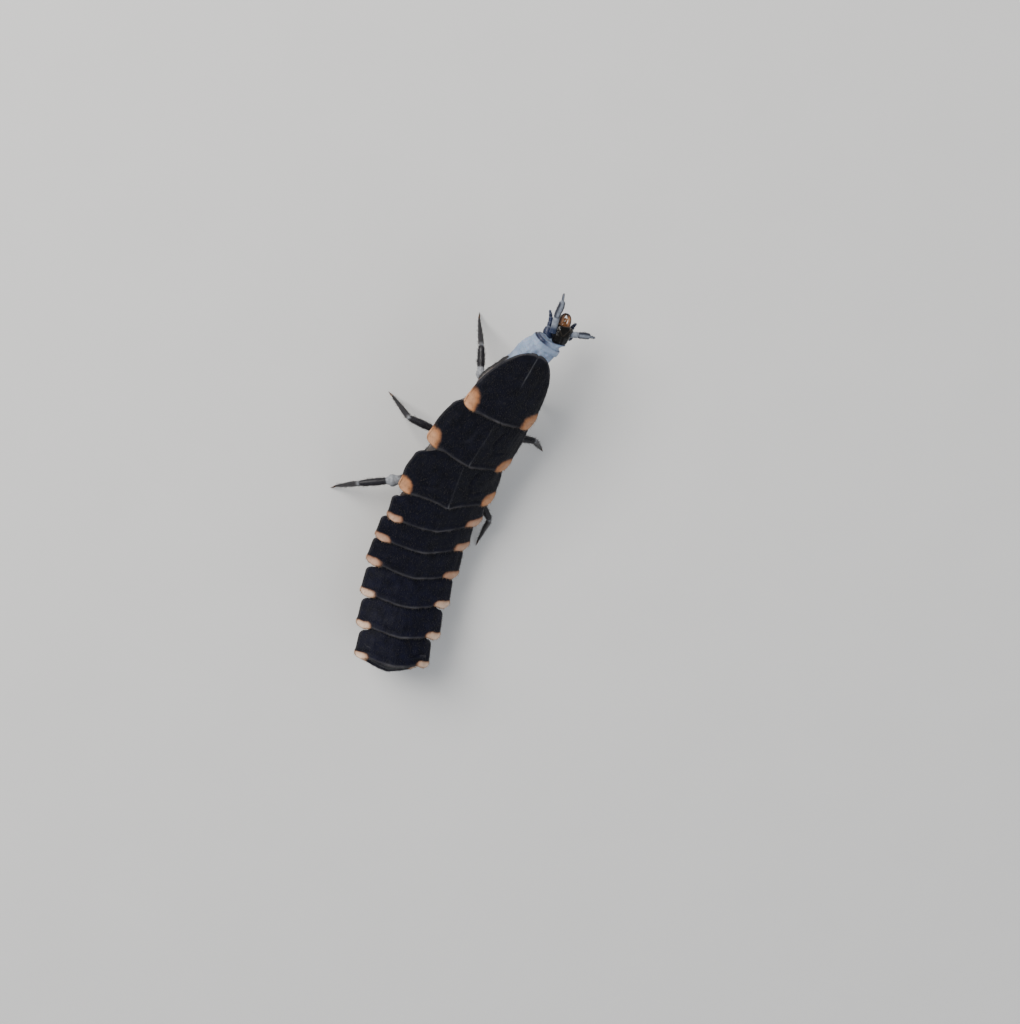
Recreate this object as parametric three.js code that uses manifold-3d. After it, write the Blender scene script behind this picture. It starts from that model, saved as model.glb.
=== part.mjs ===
import * as THREE from 'three';
import { mergeVertices } from 'three/addons/utils/BufferGeometryUtils.js';
import Module from 'manifold-3d';

const wasm = await Module();
wasm.setup();

// A firefly larva on its six feet and its holdfast. Millimetres and degrees, +Z up, floor at z = 0.
// The head points to -Y and the animal's left is +X.

// Driving dimensions
const GAP = 0.3;
const FINE_GAP = 0.1;
const PLATE_THICKNESS = 0.5;
const PLATE_LIFT = 0.22;
const FLESH_WIDTH = 0.76;
const FLESH_TOP = 0.4;
const PINCH = 0.9;
const OVERHANG = 0.35;
const WIDEST = 2.8;
const BACK_START = new THREE.Vector3(0.2, -9.5, 5.6);
const UNDER_MIDDLE = new THREE.Vector3(-0.9, 0.6, 0);

// One row for each segment, from the head end: the length of its plate along the back, half the
// plate's width, how far the plate's sides drop, the depth of the body, then its heading to the
// left, its slope down toward the tail and its roll with the left side up.
const SEGMENTS = [
  { name: 'prothorax', length: 4.35, half: 2.22, drop: 0.6, depth: 2.3, turn: 5, slope: 6, roll: 10 },
  { name: 'mesothorax', length: 3.25, half: 2.62, drop: 0.65, depth: 2.45, turn: 5, slope: 9, roll: 11 },
  { name: 'metathorax', length: 3.05, half: 2.75, drop: 0.7, depth: 2.45, turn: -1, slope: 11, roll: 9 },
  { name: 'abdomen_1', length: 1.7, half: 2.68, drop: 0.7, depth: 2.4, turn: -7, slope: 16, roll: 6 },
  { name: 'abdomen_2', length: 1.6, half: 2.72, drop: 0.7, depth: 2.35, turn: -6, slope: 13, roll: 6 },
  { name: 'abdomen_3', length: 1.7, half: 2.7, drop: 0.7, depth: 2.3, turn: -6, slope: 5, roll: 4 },
  { name: 'abdomen_4', length: 1.8, half: 2.57, drop: 0.7, depth: 2.25, turn: -10, slope: -5, roll: 1 },
  { name: 'abdomen_5', length: 1.8, half: 2.4, drop: 0.7, depth: 2.1, turn: -11, slope: -12, roll: -1 },
  { name: 'abdomen_6', length: 1.7, half: 2.15, drop: 0.6, depth: 1.9, turn: -11, slope: -14, roll: 2 },
  { name: 'abdomen_7', length: 1.6, half: 1.85, drop: 0.55, depth: 1.7, turn: -11, slope: 56, roll: 0 },
  { name: 'abdomen_8', length: 1.4, half: 1.5, drop: 0.45, depth: 1.4, turn: -10, slope: 84, roll: 0 },
  { name: 'abdomen_9', length: 0.8, half: 1.05, drop: 0.35, depth: 1.1, turn: -10, slope: 104, roll: 0 },
];

// The soft neck reaches a little way under the first plate, and the head sits to the right of its rim
const NECK_UNDER = 0.6;
const NECK_HALF = 1.0;
const NECK_DEPTH = 1.8;
const NECK_RIM = new THREE.Vector3(-0.2, -10.15, 4.3);
const RIM_HALF = 0.82;
const RIM_DEPTH = 1.2;
const HEAD_REAR = new THREE.Vector3(-0.77, -10.25, 4.18);
const HEAD_HALF = 0.6;
const HEAD_DEPTH = 0.85;
const HEAD_LENGTH = 1.15;
const HEAD_TURN = -8;
const HEAD_NOD = 10;

// Each leg: the segment it grows from, the middle of its hip, and its joints down to the floor
const LEGS = [
  {
    name: 'leg_front_left',
    on: 0,
    root: [0.9, -6.6, 3.7],
    hip: [2.05, -6.7, 3.0],
    knee: [2.55, -8.1, 2.3],
    foot: [2.75, -9.1],
  },
  {
    name: 'leg_middle_left',
    on: 1,
    root: [1.4, -2.9, 3.3],
    hip: [2.8, -2.7, 2.6],
    knee: [4.5, -2.75, 2.4],
    foot: [5.4, -3.0],
  },
  {
    name: 'leg_hind_left',
    on: 2,
    root: [1.7, -0.3, 2.8],
    hip: [3.3, 0.55, 2.3],
    knee: [5.35, 2.0, 2.0],
    foot: [6.1, 3.4],
  },
  {
    name: 'leg_front_right',
    on: 0,
    root: [-0.5, -6.8, 3.3],
    hip: [-1.1, -6.9, 2.5],
    knee: [-2.1, -6.5, 1.8],
    foot: [-2.7, -5.7],
  },
  {
    name: 'leg_middle_right',
    on: 1,
    root: [-0.5, -3.4, 3.0],
    hip: [-1.2, -3.7, 2.1],
    knee: [-2.9, -4.0, 1.9],
    foot: [-4.2, -3.1],
  },
  {
    name: 'leg_hind_right',
    on: 2,
    root: [-0.5, -0.1, 2.6],
    hip: [-1.2, 0.2, 1.7],
    knee: [-2.7, 1.4, 1.6],
    foot: [-3.2, 3.6],
  },
];
const HIP_RADII = [0.48, 0.34];
const THIGH_RADII = [0.27, 0.3, 0.25];
const SHIN_RADII = [0.25, 0.25, 0.15];

// The feelers, from the sides of the head: the left one points ahead, the right one aside
const FEELERS = {
  left: [[-0.12, -11.0, 4.25], [0.05, -11.75, 4.25], [0.06, -12.3, 4.22], [0.24, -13.0, 4.2]],
  right: [[-1.2, -11.0, 4.1], [-1.7, -11.15, 4.1], [-2.1, -11.25, 4.05], [-2.6, -11.3, 4.0]],
};
const FEELER_RADII = [0.25, 0.25, 0.25, 0.12];
const EYE_RADIUS = 0.19;

// The holdfast under the tail: a low sole with fingers spread over the floor
const FINGERS = 9;
const FINGER_REACH = 1.05;
const FINGER_RADII = [0.25, 0.22, 0.12];
const SOLE_HALF = 0.4;
const TAIL_END = [10, 11];

const COLOURS = {
  plate: 0x17181c,
  neck: 0x8d98a5,
  head: 0x14100e,
  eye: 0x050506,
  feeler: 0x5b5f68,
  jaw: 0xa5622f,
  palp: 0x23242a,
  leg: 0x1c1c20,
  holdfast: 0xcfc7ba,
};

const { sin, cos, abs, sign, sqrt, PI } = Math;
const { degToRad: radians, lerp } = THREE.MathUtils;

// Solids from closed meshes, and back

function solid(geometry) {
  const bare = geometry.clone();
  bare.deleteAttribute('normal');
  bare.deleteAttribute('uv');
  const merged = mergeVertices(bare, 1e-5);
  const vertProperties = new Float32Array(merged.attributes.position.array);
  const triVerts = new Uint32Array(merged.index.array);
  return new wasm.Manifold(new wasm.Mesh({ numProp: 3, vertProperties, triVerts }));
}

function join(solids) {
  return solids.reduce((all, one) => all.add(one));
}

// A node keeps only its largest closed surface
function largest(whole) {
  return whole.decompose().reduce((best, piece) => (piece.volume() > best.volume() ? piece : best));
}

function geometryOf(whole) {
  const mesh = largest(whole).getMesh();
  const geometry = new THREE.BufferGeometry();
  geometry.setAttribute('position', new THREE.BufferAttribute(mesh.vertProperties, 3));
  geometry.setIndex(new THREE.BufferAttribute(mesh.triVerts, 1));
  return geometry;
}

function meshGeometry(points, triangles) {
  const geometry = new THREE.BufferGeometry().setFromPoints(points);
  geometry.setIndex(triangles.flat());
  return geometry;
}

// A closed skin over rings of equally many points, each ring running left to up seen from the head
function loft(rings) {
  const count = rings[0].length;
  const points = rings.flat();
  const triangles = [];
  for (let r = 0; r + 1 < rings.length; r += 1) {
    for (let i = 0; i < count; i += 1) {
      const a = r * count + i;
      const b = r * count + (i + 1) % count;
      triangles.push([a, b + count, b], [a, a + count, b + count]);
    }
  }
  const last = (rings.length - 1) * count;
  for (let i = 1; i + 1 < count; i += 1) {
    triangles.push([0, i, i + 1], [last, last + i + 1, last + i]);
  }
  return solid(meshGeometry(points, triangles));
}

// A round-edged section across a frame: half its width and depth, squarer for a lower power
function ring(frame, half, depth, middle, sides, power) {
  const points = [];
  for (let i = 0; i < sides; i += 1) {
    const angle = 2 * PI * i / sides;
    const x = half * sign(cos(angle)) * abs(cos(angle)) ** power;
    const z = depth / 2 * sign(sin(angle)) * abs(sin(angle)) ** power;
    points.push(new THREE.Vector3(x, 0, middle + z).applyMatrix4(frame));
  }
  return points;
}

// A round limb along a line of places, with its radius at each
function limb(places, radii, sides = 8) {
  const rings = [];
  const up = new THREE.Vector3(0, 0, 1);
  for (let i = 0; i < places.length; i += 1) {
    const before = places[Math.max(i - 1, 0)];
    const after = places[Math.min(i + 1, places.length - 1)];
    const along = after.clone().sub(before).normalize();
    const across = new THREE.Vector3().crossVectors(along, up).normalize();
    const rise = new THREE.Vector3().crossVectors(across, along);
    const frame = new THREE.Matrix4().makeBasis(across, along, rise).setPosition(places[i]);
    rings.push(ring(frame, radii[i], 2 * radii[i], 0, sides, 1));
  }
  return loft(rings);
}

// A bent sheet: the top face given over u from -1 to 1 and v from 0 to 1, and its thickness below
function slab(across, along, top, thickness) {
  const points = [];
  for (const depth of [0, thickness]) {
    for (let i = 0; i <= across; i += 1) {
      for (let j = 0; j <= along; j += 1) {
        points.push(top(2 * i / across - 1, j / along, depth));
      }
    }
  }
  const row = along + 1;
  const under = (across + 1) * row;
  const triangles = [];
  for (let i = 0; i < across; i += 1) {
    for (let j = 0; j < along; j += 1) {
      const a = i * row + j;
      const b = a + row;
      triangles.push([a, b, b + 1], [a, b + 1, a + 1]);
      triangles.push([a + under, b + 1 + under, b + under], [a + under, a + 1 + under, b + 1 + under]);
    }
  }
  for (let i = 0; i < across; i += 1) {
    const front = i * row;
    const rear = front + along;
    triangles.push([front, front + under, front + row + under], [front, front + row + under, front + row]);
    triangles.push([rear, rear + row + under, rear + under], [rear, rear + row, rear + row + under]);
  }
  for (let j = 0; j < along; j += 1) {
    const right = j;
    const left = across * row + j;
    triangles.push([right, right + 1 + under, right + under], [right, right + 1, right + 1 + under]);
    triangles.push([left, left + under, left + 1 + under], [left, left + 1 + under, left + 1]);
  }
  return meshGeometry(points, triangles);
}

// Frames of the segments along the back, and of the borders between them

function spinOf(turn, slope, roll) {
  const angles = new THREE.Euler(-radians(slope), -radians(roll), -radians(turn), 'ZXY');
  return new THREE.Quaternion().setFromEuler(angles);
}

function frameAt(place, spin) {
  return new THREE.Matrix4().makeRotationFromQuaternion(spin).setPosition(place);
}

const place = BACK_START.clone();
for (const segment of SEGMENTS) {
  segment.spin = spinOf(segment.turn, segment.slope, segment.roll);
  segment.front = place.clone();
  place.add(new THREE.Vector3(0, segment.length, 0).applyQuaternion(segment.spin));
  segment.rear = place.clone();
}

function borderSpin(k) {
  const before = SEGMENTS[Math.max(k - 1, 0)].spin;
  const after = SEGMENTS[Math.min(k, SEGMENTS.length - 1)].spin;
  return before.clone().slerp(after, 0.5);
}

// Half the width and the depth of the flesh at the border in front of segment k, and its place
function border(k) {
  if (k === 0) {
    return { half: NECK_HALF, depth: NECK_DEPTH, shift: NECK_UNDER };
  }
  const before = SEGMENTS[k - 1];
  const after = SEGMENTS[Math.min(k, SEGMENTS.length - 1)];
  const half = PINCH * FLESH_WIDTH * (before.half + after.half) / 2;
  const depth = PINCH * (before.depth + after.depth) / 2;
  return { half, depth, shift: k < SEGMENTS.length ? -OVERHANG * after.half / WIDEST : 0 };
}

// The section of the body at part t of segment k, from border to border
function fleshRing(k, t, grow) {
  const segment = SEGMENTS[k];
  const full = { half: FLESH_WIDTH * plateHalf(k, t), depth: segment.depth };
  const near = border(t < 0.5 ? k : k + 1);
  const share = abs(2 * t - 1);
  const half = lerp(full.half, near.half, share ** 2) + grow;
  const depth = lerp(full.depth, near.depth, share ** 2) - FLESH_TOP;
  const spin = segment.spin.clone().slerp(borderSpin(t < 0.5 ? k : k + 1), share);
  const middle = segment.front.clone().lerp(segment.rear, t);
  const cut = t === 0 ? GAP / 2 - grow : t === 1 ? grow - GAP / 2 : 0;
  middle.add(new THREE.Vector3(0, cut + near.shift * share, 0).applyQuaternion(spin));
  return ring(frameAt(middle, spin), half, depth + 2 * grow, -FLESH_TOP - depth / 2, 20, 0.8);
}

function flesh(k, grow = 0) {
  return loft([0, 0.25, 0.5, 0.75, 1].map((t) => fleshRing(k, t, grow)));
}

// Half the width of a plate at part v of its length. The first narrows forward like an arch, and
// all have rounded rear corners.
function plateHalf(k, v) {
  const narrowing = k === 0 ? sqrt(1 - 0.88 * (1 - v) ** 2) : 1 - 0.16 * (1 - v) ** 3;
  return SEGMENTS[k].half * (narrowing - 0.07 * v ** 8);
}

function plate(k, grow = 0) {
  const { length, half, drop, spin, front } = SEGMENTS[k];
  const top = (u, v, depth) => {
    const wide = plateHalf(k, v) + grow;
    const start = k === 0 ? 0.35 * u * u : -0.2 + 0.3 * u ** 4;
    const end = length * (1 - 0.1 * u ** 4) + grow;
    const side = abs(u * wide / half);
    const lift = PLATE_LIFT * (v - 1);
    return new THREE.Vector3(u * wide, start + (end - start) * v, grow + lift - drop * side ** 2.2 - depth);
  };
  const shape = slab(12, 5, top, PLATE_THICKNESS + 2 * grow);
  return solid(shape.applyMatrix4(frameAt(front, spin)));
}

// The belly plate of an abdominal segment
function bellyPlate(k) {
  const { length, half, depth, spin, front } = SEGMENTS[k];
  const top = (u, v, thick) => {
    const y = length * (0.12 + 0.5 * v);
    const wide = 0.5 * half * (1 - 0.12 * abs(2 * v - 1) ** 2);
    return new THREE.Vector3(wide * u, y, 0.12 - depth - thick * (1 - 0.6 * u * u) + 0.12 * u * u);
  };
  return solid(slab(6, 3, top, 0.3).applyMatrix4(frameAt(front, spin)));
}

// The small side plate under each edge of the back plate
function sidePlate(k, side) {
  const { length, half, depth, spin, front } = SEGMENTS[k];
  const shape = new THREE.SphereGeometry(1, 8, 6);
  shape.scale(0.36, 0.28 * length, 0.34);
  shape.translate(side * FLESH_WIDTH * half * 0.98, 0.38 * length, -0.62 * depth);
  return solid(shape.applyMatrix4(frameAt(front, spin)));
}

const larva = new THREE.Group();
larva.position.copy(UNDER_MIDDLE);

function addNode(name, whole, colour, roughness) {
  const material = new THREE.MeshStandardMaterial({ color: colour, roughness, metalness: 0 });
  const mesh = new THREE.Mesh(geometryOf(whole), material);
  mesh.name = name;
  larva.add(mesh);
}

// Body segments
const FIRST_ABDOMINAL = 3;
const LAST_SIDE_PLATE = 7;
SEGMENTS.forEach((segment, k) => {
  const pieces = [flesh(k), plate(k)];
  if (k >= FIRST_ABDOMINAL && k <= LAST_SIDE_PLATE) {
    pieces.push(sidePlate(k, 1), sidePlate(k, -1), bellyPlate(k));
  }
  let whole = join(pieces);
  if (k > 0) {
    whole = whole.subtract(plate(k - 1, GAP)).subtract(flesh(k - 1, 0.9 * GAP));
  }
  addNode(segment.name, whole, COLOURS.plate, 0.75);
});

// The neck: a soft cone to its rim, then a narrow collar to the back of the head
function neck() {
  const { spin, front } = SEGMENTS[0];
  const inFrame = (y, half, depth) => {
    const middle = new THREE.Vector3(0, y, 0).applyQuaternion(spin).add(front);
    return ring(frameAt(middle, spin), half, depth, -FLESH_TOP - NECK_DEPTH / 2, 20, 0.8);
  };
  const rimSpin = spinOf(14, 8, 4);
  const rimAt = (y, half, depth) => {
    const middle = new THREE.Vector3(0, y, 0).applyQuaternion(rimSpin).add(NECK_RIM);
    return ring(frameAt(middle, rimSpin), half, depth, 0, 20, 0.8);
  };
  const collar = frameAt(HEAD_REAR, spinOf(HEAD_TURN, -HEAD_NOD, 0));
  collar.multiply(new THREE.Matrix4().makeTranslation(0, FINE_GAP, 0));
  return loft([
    ring(collar, 0.6 * HEAD_HALF, 0.6 * HEAD_DEPTH, 0, 20, 0.8),
    rimAt(-0.05, 0.75 * RIM_HALF, 0.75 * RIM_DEPTH),
    rimAt(0.02, RIM_HALF, RIM_DEPTH),
    rimAt(0.3, 1.06 * RIM_HALF, 1.08 * RIM_DEPTH),
    inFrame(0, 0.96 * NECK_HALF, 0.92 * (NECK_DEPTH - FLESH_TOP)),
    inFrame(NECK_UNDER - GAP / 2, NECK_HALF, NECK_DEPTH - FLESH_TOP),
  ]);
}
addNode('neck', neck().subtract(plate(0, GAP)), COLOURS.neck, 0.5);

// The head, in a frame at the middle of its back with the mouth toward -Y
const headFrame = frameAt(HEAD_REAR, spinOf(HEAD_TURN, -HEAD_NOD, 0));
function inHead(x, y, z) {
  return new THREE.Vector3(x, y, z).applyMatrix4(headFrame);
}

function head(grow = 0) {
  const sections = [
    [-1, 0.68, 0.6],
    [-0.92, 0.82, 0.76],
    [-0.7, 0.98, 0.96],
    [-0.4, 1, 1],
    [-0.12, 0.84, 0.82],
    [0, 0.68, 0.6],
  ];
  const rings = sections.map(([y, wide, deep], i) => {
    const end = i === 0 ? -grow : i === sections.length - 1 ? grow : 0;
    const middle = new THREE.Matrix4().makeTranslation(0, y * HEAD_LENGTH + end, 0).premultiply(headFrame);
    return ring(middle, wide * HEAD_HALF + grow, deep * HEAD_DEPTH + 2 * grow, 0, 20, 0.8);
  });
  return loft(rings);
}
addNode('head', head(), COLOURS.head, 0.3);
const aroundHead = head(FINE_GAP);

// Eyes, feelers and mouthparts, in pairs
const toPoints = (places) => places.map(([x, y, z]) => new THREE.Vector3(x, y, z));
for (const [side, name] of [[1, 'left'], [-1, 'right']]) {
  const eye = new THREE.SphereGeometry(EYE_RADIUS, 10, 8);
  eye.translate(side * 1.03 * HEAD_HALF, -0.72 * HEAD_LENGTH, 0.1);
  addNode(`eye_${name}`, solid(eye.applyMatrix4(headFrame)).subtract(aroundHead), COLOURS.eye, 0.15);

  const feeler = limb(toPoints(FEELERS[name]), FEELER_RADII);
  addNode(`antenna_${name}`, feeler.subtract(aroundHead), COLOURS.feeler, 0.5);

  const jaw = limb(
    [
      inHead(side * 0.24, -HEAD_LENGTH + 0.1, 0),
      inHead(side * 0.31, -HEAD_LENGTH - 0.22, -0.03),
      inHead(side * 0.28, -HEAD_LENGTH - 0.4, -0.06),
      inHead(side * 0.09, -HEAD_LENGTH - 0.55, -0.08),
    ],
    [0.18, 0.16, 0.12, 0.04],
  );
  addNode(`mandible_${name}`, jaw.subtract(aroundHead), COLOURS.jaw, 0.3);

  const palp = limb(
    [
      inHead(side * 0.36, -0.6, -0.62),
      inHead(side * 0.42, -1.1, -0.68),
      inHead(side * 0.62, -1.35, -0.68),
      inHead(side * 0.8, -1.55, -0.62),
    ],
    [0.2, 0.2, 0.16, 0.08],
  );
  addNode(`maxilla_${name}`, palp.subtract(aroundHead), COLOURS.palp, 0.5);
}
const lip = [inHead(0, -0.5, -0.6), inHead(0, -1.05, -0.66), inHead(0, -1.3, -0.62)];
const labium = limb(lip, [0.14, 0.14, 0.08]);
addNode('labium', labium.subtract(aroundHead), COLOURS.palp, 0.5);

// The floor takes off whatever reaches below it, which leaves small flats
function aboveFloor(whole) {
  const below = new THREE.BoxGeometry(60, 60, 4);
  below.translate(0, 0, -2);
  return whole.subtract(solid(below));
}

// Legs: hip, thigh and shin, each thickest in its middle, down to the tip of the claw
for (const leg of LEGS) {
  const [root, hip, knee] = toPoints([leg.root, leg.hip, leg.knee]);
  const foot = new THREE.Vector3(...leg.foot, -0.1);
  const thigh = limb([hip, hip.clone().lerp(knee, 0.5), knee], THIGH_RADII);
  const shin = limb([knee, knee.clone().lerp(foot, 0.4), foot], SHIN_RADII);
  const whole = join([limb([root, hip], HIP_RADII), thigh, shin]);
  const around = [leg.on, leg.on + 1].flatMap((k) => [flesh(k, GAP), plate(k, GAP)]);
  addNode(leg.name, aboveFloor(whole.subtract(join(around))), COLOURS.leg, 0.6);
}

// Holdfast
function holdfast() {
  const tail = SEGMENTS[SEGMENTS.length - 1];
  const middle = new THREE.Vector3(0, 0, -(FLESH_TOP + tail.depth) / 2);
  const { x, y, z } = middle.applyQuaternion(tail.spin).add(tail.rear);
  const centre = new THREE.Vector3(x, y, 0);
  const fingers = [];
  for (let i = 0; i < FINGERS; i += 1) {
    const angle = 2 * PI * (i + 0.5) / FINGERS;
    const out = new THREE.Vector3(sin(angle), cos(angle), 0);
    const at = (reach, height) => centre.clone().addScaledVector(out, reach).setZ(height);
    const line = [at(0.1, 0.4), at(0.6 * FINGER_REACH, 0.3), at(FINGER_REACH, 0.02)];
    fingers.push(limb(line, FINGER_RADII, 6));
  }
  const stalk = [new THREE.Vector3(x, y + 0.001, -0.1), new THREE.Vector3(x, y, z)];
  const sole = limb(stalk, [SOLE_HALF, SOLE_HALF], 16);
  const around = TAIL_END.flatMap((k) => [flesh(k, GAP), plate(k, GAP)]);
  return join([sole, ...fingers]).subtract(join(around));
}
addNode('pygopod', aboveFloor(holdfast()), COLOURS.holdfast, 0.4);

export default larva;
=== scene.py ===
from math import pi

import bmesh
import bpy
import numpy as np
from mathutils import Matrix, Vector


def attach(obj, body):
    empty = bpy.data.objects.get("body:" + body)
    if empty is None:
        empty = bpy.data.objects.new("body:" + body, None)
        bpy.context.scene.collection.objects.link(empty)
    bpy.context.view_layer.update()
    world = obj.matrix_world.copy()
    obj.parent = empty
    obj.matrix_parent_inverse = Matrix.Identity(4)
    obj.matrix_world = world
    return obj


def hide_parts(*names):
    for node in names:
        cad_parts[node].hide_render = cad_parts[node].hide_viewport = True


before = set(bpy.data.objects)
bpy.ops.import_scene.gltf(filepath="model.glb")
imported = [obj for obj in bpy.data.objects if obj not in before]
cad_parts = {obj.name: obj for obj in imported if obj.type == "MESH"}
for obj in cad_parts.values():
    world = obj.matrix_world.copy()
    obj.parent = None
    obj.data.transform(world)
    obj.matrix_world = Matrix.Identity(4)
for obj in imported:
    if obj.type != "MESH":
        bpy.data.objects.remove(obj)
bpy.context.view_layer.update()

# The looks of a firefly larva. Shapes are worked out in millimetres and degrees in the row frame,
# with the head toward -Y and the animal's left toward +X, and turned into metres by make().
MM = 0.001

# Driving dimensions of the body, as in the solids
UNDER_MIDDLE = np.array([-0.9, 0.6, 0.0])
BACK_START = np.array([0.2, -9.5, 5.6]) + UNDER_MIDDLE
PLATE_LIFT = 0.22
FLESH_WIDTH = 0.76
FLESH_TOP = 0.4
PINCH = 0.9
OVERHANG = 0.35
WIDEST = 2.8

# Name, then length, half width, drop of the sides and depth of the body, then turn, slope and roll
SEGMENTS = [
    ("prothorax", 4.35, 2.22, 0.6, 2.3, 5, 6, 10),
    ("mesothorax", 3.25, 2.62, 0.65, 2.45, 5, 9, 11),
    ("metathorax", 3.05, 2.75, 0.7, 2.45, -1, 11, 9),
    ("abdomen_1", 1.7, 2.68, 0.7, 2.4, -7, 16, 6),
    ("abdomen_2", 1.6, 2.72, 0.7, 2.35, -6, 13, 6),
    ("abdomen_3", 1.7, 2.7, 0.7, 2.3, -6, 5, 4),
    ("abdomen_4", 1.8, 2.57, 0.7, 2.25, -10, -5, 1),
    ("abdomen_5", 1.8, 2.4, 0.7, 2.1, -11, -12, -1),
    ("abdomen_6", 1.7, 2.15, 0.6, 1.9, -11, -14, 2),
    ("abdomen_7", 1.6, 1.85, 0.55, 1.7, -11, 56, 0),
    ("abdomen_8", 1.4, 1.5, 0.45, 1.4, -10, 84, 0),
    ("abdomen_9", 0.8, 1.05, 0.35, 1.1, -10, 104, 0),
]
NAMES = [row[0] for row in SEGMENTS]
LENGTH, HALF, DROP, DEPTH = np.array([row[1:5] for row in SEGMENTS]).T
ANGLES = np.array([row[5:8] for row in SEGMENTS], float)
COUNT = len(SEGMENTS)
THORAX = 3
CURLED = 9

# Neck and head
NECK_UNDER = 0.6
NECK_HALF = 1.0
NECK_DEPTH = 1.8
NECK_RIM = np.array([-0.2, -10.15, 4.3]) + UNDER_MIDDLE
RIM_ANGLES = (14, 8, 4)
RIM_HALF = 0.82
RIM_DEPTH = 1.2
HEAD_REAR = np.array([-0.77, -10.25, 4.18]) + UNDER_MIDDLE
HEAD_ANGLES = (-8, -10, 0)
HEAD_HALF = 0.6
HEAD_DEPTH = 0.85
HEAD_LENGTH = 1.15

# The render's plates are thinner than the solids' and truly overlap
PLATE_THICKNESS = 0.13
TUCK = 0.50
# Degrees that each plate is turned to the right over its flesh, and millimetres it is moved to the left
PLATE_TURN = [2.5, 0, 6.5, 8, 5, 2.5, 1, 0, 0, 0, 0, 0]
PLATE_SHIFT = [0, 0, 0, 0, 0.10, 0.05, 0, 0, 0, 0, 0, 0]


# Vectors, curves and noise

def rotation(turn, slope, roll):
    """Heading to the left, slope down toward the tail and roll with the left side up."""
    a, b, g = np.radians([-slope, -roll, -turn])
    about_x = np.array([[1, 0, 0], [0, np.cos(a), -np.sin(a)], [0, np.sin(a), np.cos(a)]])
    about_y = np.array([[np.cos(b), 0, np.sin(b)], [0, 1, 0], [-np.sin(b), 0, np.cos(b)]])
    about_z = np.array([[np.cos(g), -np.sin(g), 0], [np.sin(g), np.cos(g), 0], [0, 0, 1]])
    return about_z @ about_x @ about_y


def unit(v):
    return v / np.maximum(np.linalg.norm(v, axis=-1, keepdims=True), 1e-12)


def smooth(low, high, x):
    t = np.clip((x - low) / (high - low), 0, 1)
    return t * t * (3 - 2 * t)


def lerp(a, b, t):
    return a + (b - a) * t


def bell(x, width):
    """1 where x is 0, and fading to both sides over the width."""
    return np.exp(-(x / width) ** 2)


def hashed(i, j, seed):
    """An even random number from 0 to 1 for each whole cell."""
    h = np.sin(i * 127.1 + j * 311.7 + seed * 74.7) * 43758.5453
    return h - np.floor(h)


def granules(x, y, cell, seed=0):
    """Small round grains, one in each jittered cell, from 0 between them to 1 on top."""
    i, j = np.floor(x / cell), np.floor(y / cell)
    best = np.zeros_like(x)
    for di in (-1, 0, 1):
        for dj in (-1, 0, 1):
            a, b = i + di, j + dj
            cx = (a + 0.25 + 0.5 * hashed(a, b, seed)) * cell
            cy = (b + 0.25 + 0.5 * hashed(a, b, seed + 1)) * cell
            size = cell * (0.35 + 0.25 * hashed(a, b, seed + 2))
            near = 1 - ((x - cx) ** 2 + (y - cy) ** 2) / size ** 2
            best = np.maximum(best, np.clip(near, 0, 1))
    return best ** 0.7


def waves(x, y, size, seed=0):
    """A slow uneven field from about -1 to 1."""
    draw = np.random.default_rng(seed)
    total = np.zeros_like(x)
    for _ in range(7):
        heading = draw.uniform(0, 2 * pi)
        pitch = 2 * pi / (size * draw.uniform(0.7, 1.6))
        total += np.sin((x * np.cos(heading) + y * np.sin(heading)) * pitch + draw.uniform(0, 2 * pi))
    return total / 3.5


def spline(points, steps):
    """A smooth curve through points (m, ...), with steps places from each to the next."""
    points = np.asarray(points)
    p = np.concatenate([[2 * points[0] - points[1]], points, [2 * points[-1] - points[-2]]])
    out = []
    for k in range(1, len(p) - 2):
        t = np.arange(steps) / steps
        t = t.reshape(-1, *([1] * (p.ndim - 1)))
        a, b, c, d = p[k - 1], p[k], p[k + 1], p[k + 2]
        out.append(0.5 * (2 * b + (c - a) * t + (2 * a - 5 * b + 4 * c - d) * t ** 2
                          + (3 * b - a - 3 * c + d) * t ** 3))
    return np.concatenate(out + [p[-2][None]])


def turns(sides):
    """The angles of a ring's points, from the left round by the top."""
    return 2 * pi * np.arange(sides) / sides


def tapered(places, steps, at, radii):
    """A curve through places, and its radii from those at the given parts of it."""
    path = spline(places, steps)
    return path, np.interp(np.linspace(0, 1, len(path)), at, radii)


def run_along(path):
    """How far along a path each of its places is."""
    return np.concatenate([[0], np.cumsum(np.linalg.norm(np.diff(path, axis=0), axis=1))])


def profile_at(at, profile):
    """The values of a profile, whose rows are (place, values...), at the places asked for."""
    places, *values = np.array(profile).T
    return [np.interp(at, places, column) for column in values]


# Meshes

TUBE_GRAIN = 0.09
SECTION_POWER = 0.8


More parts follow.
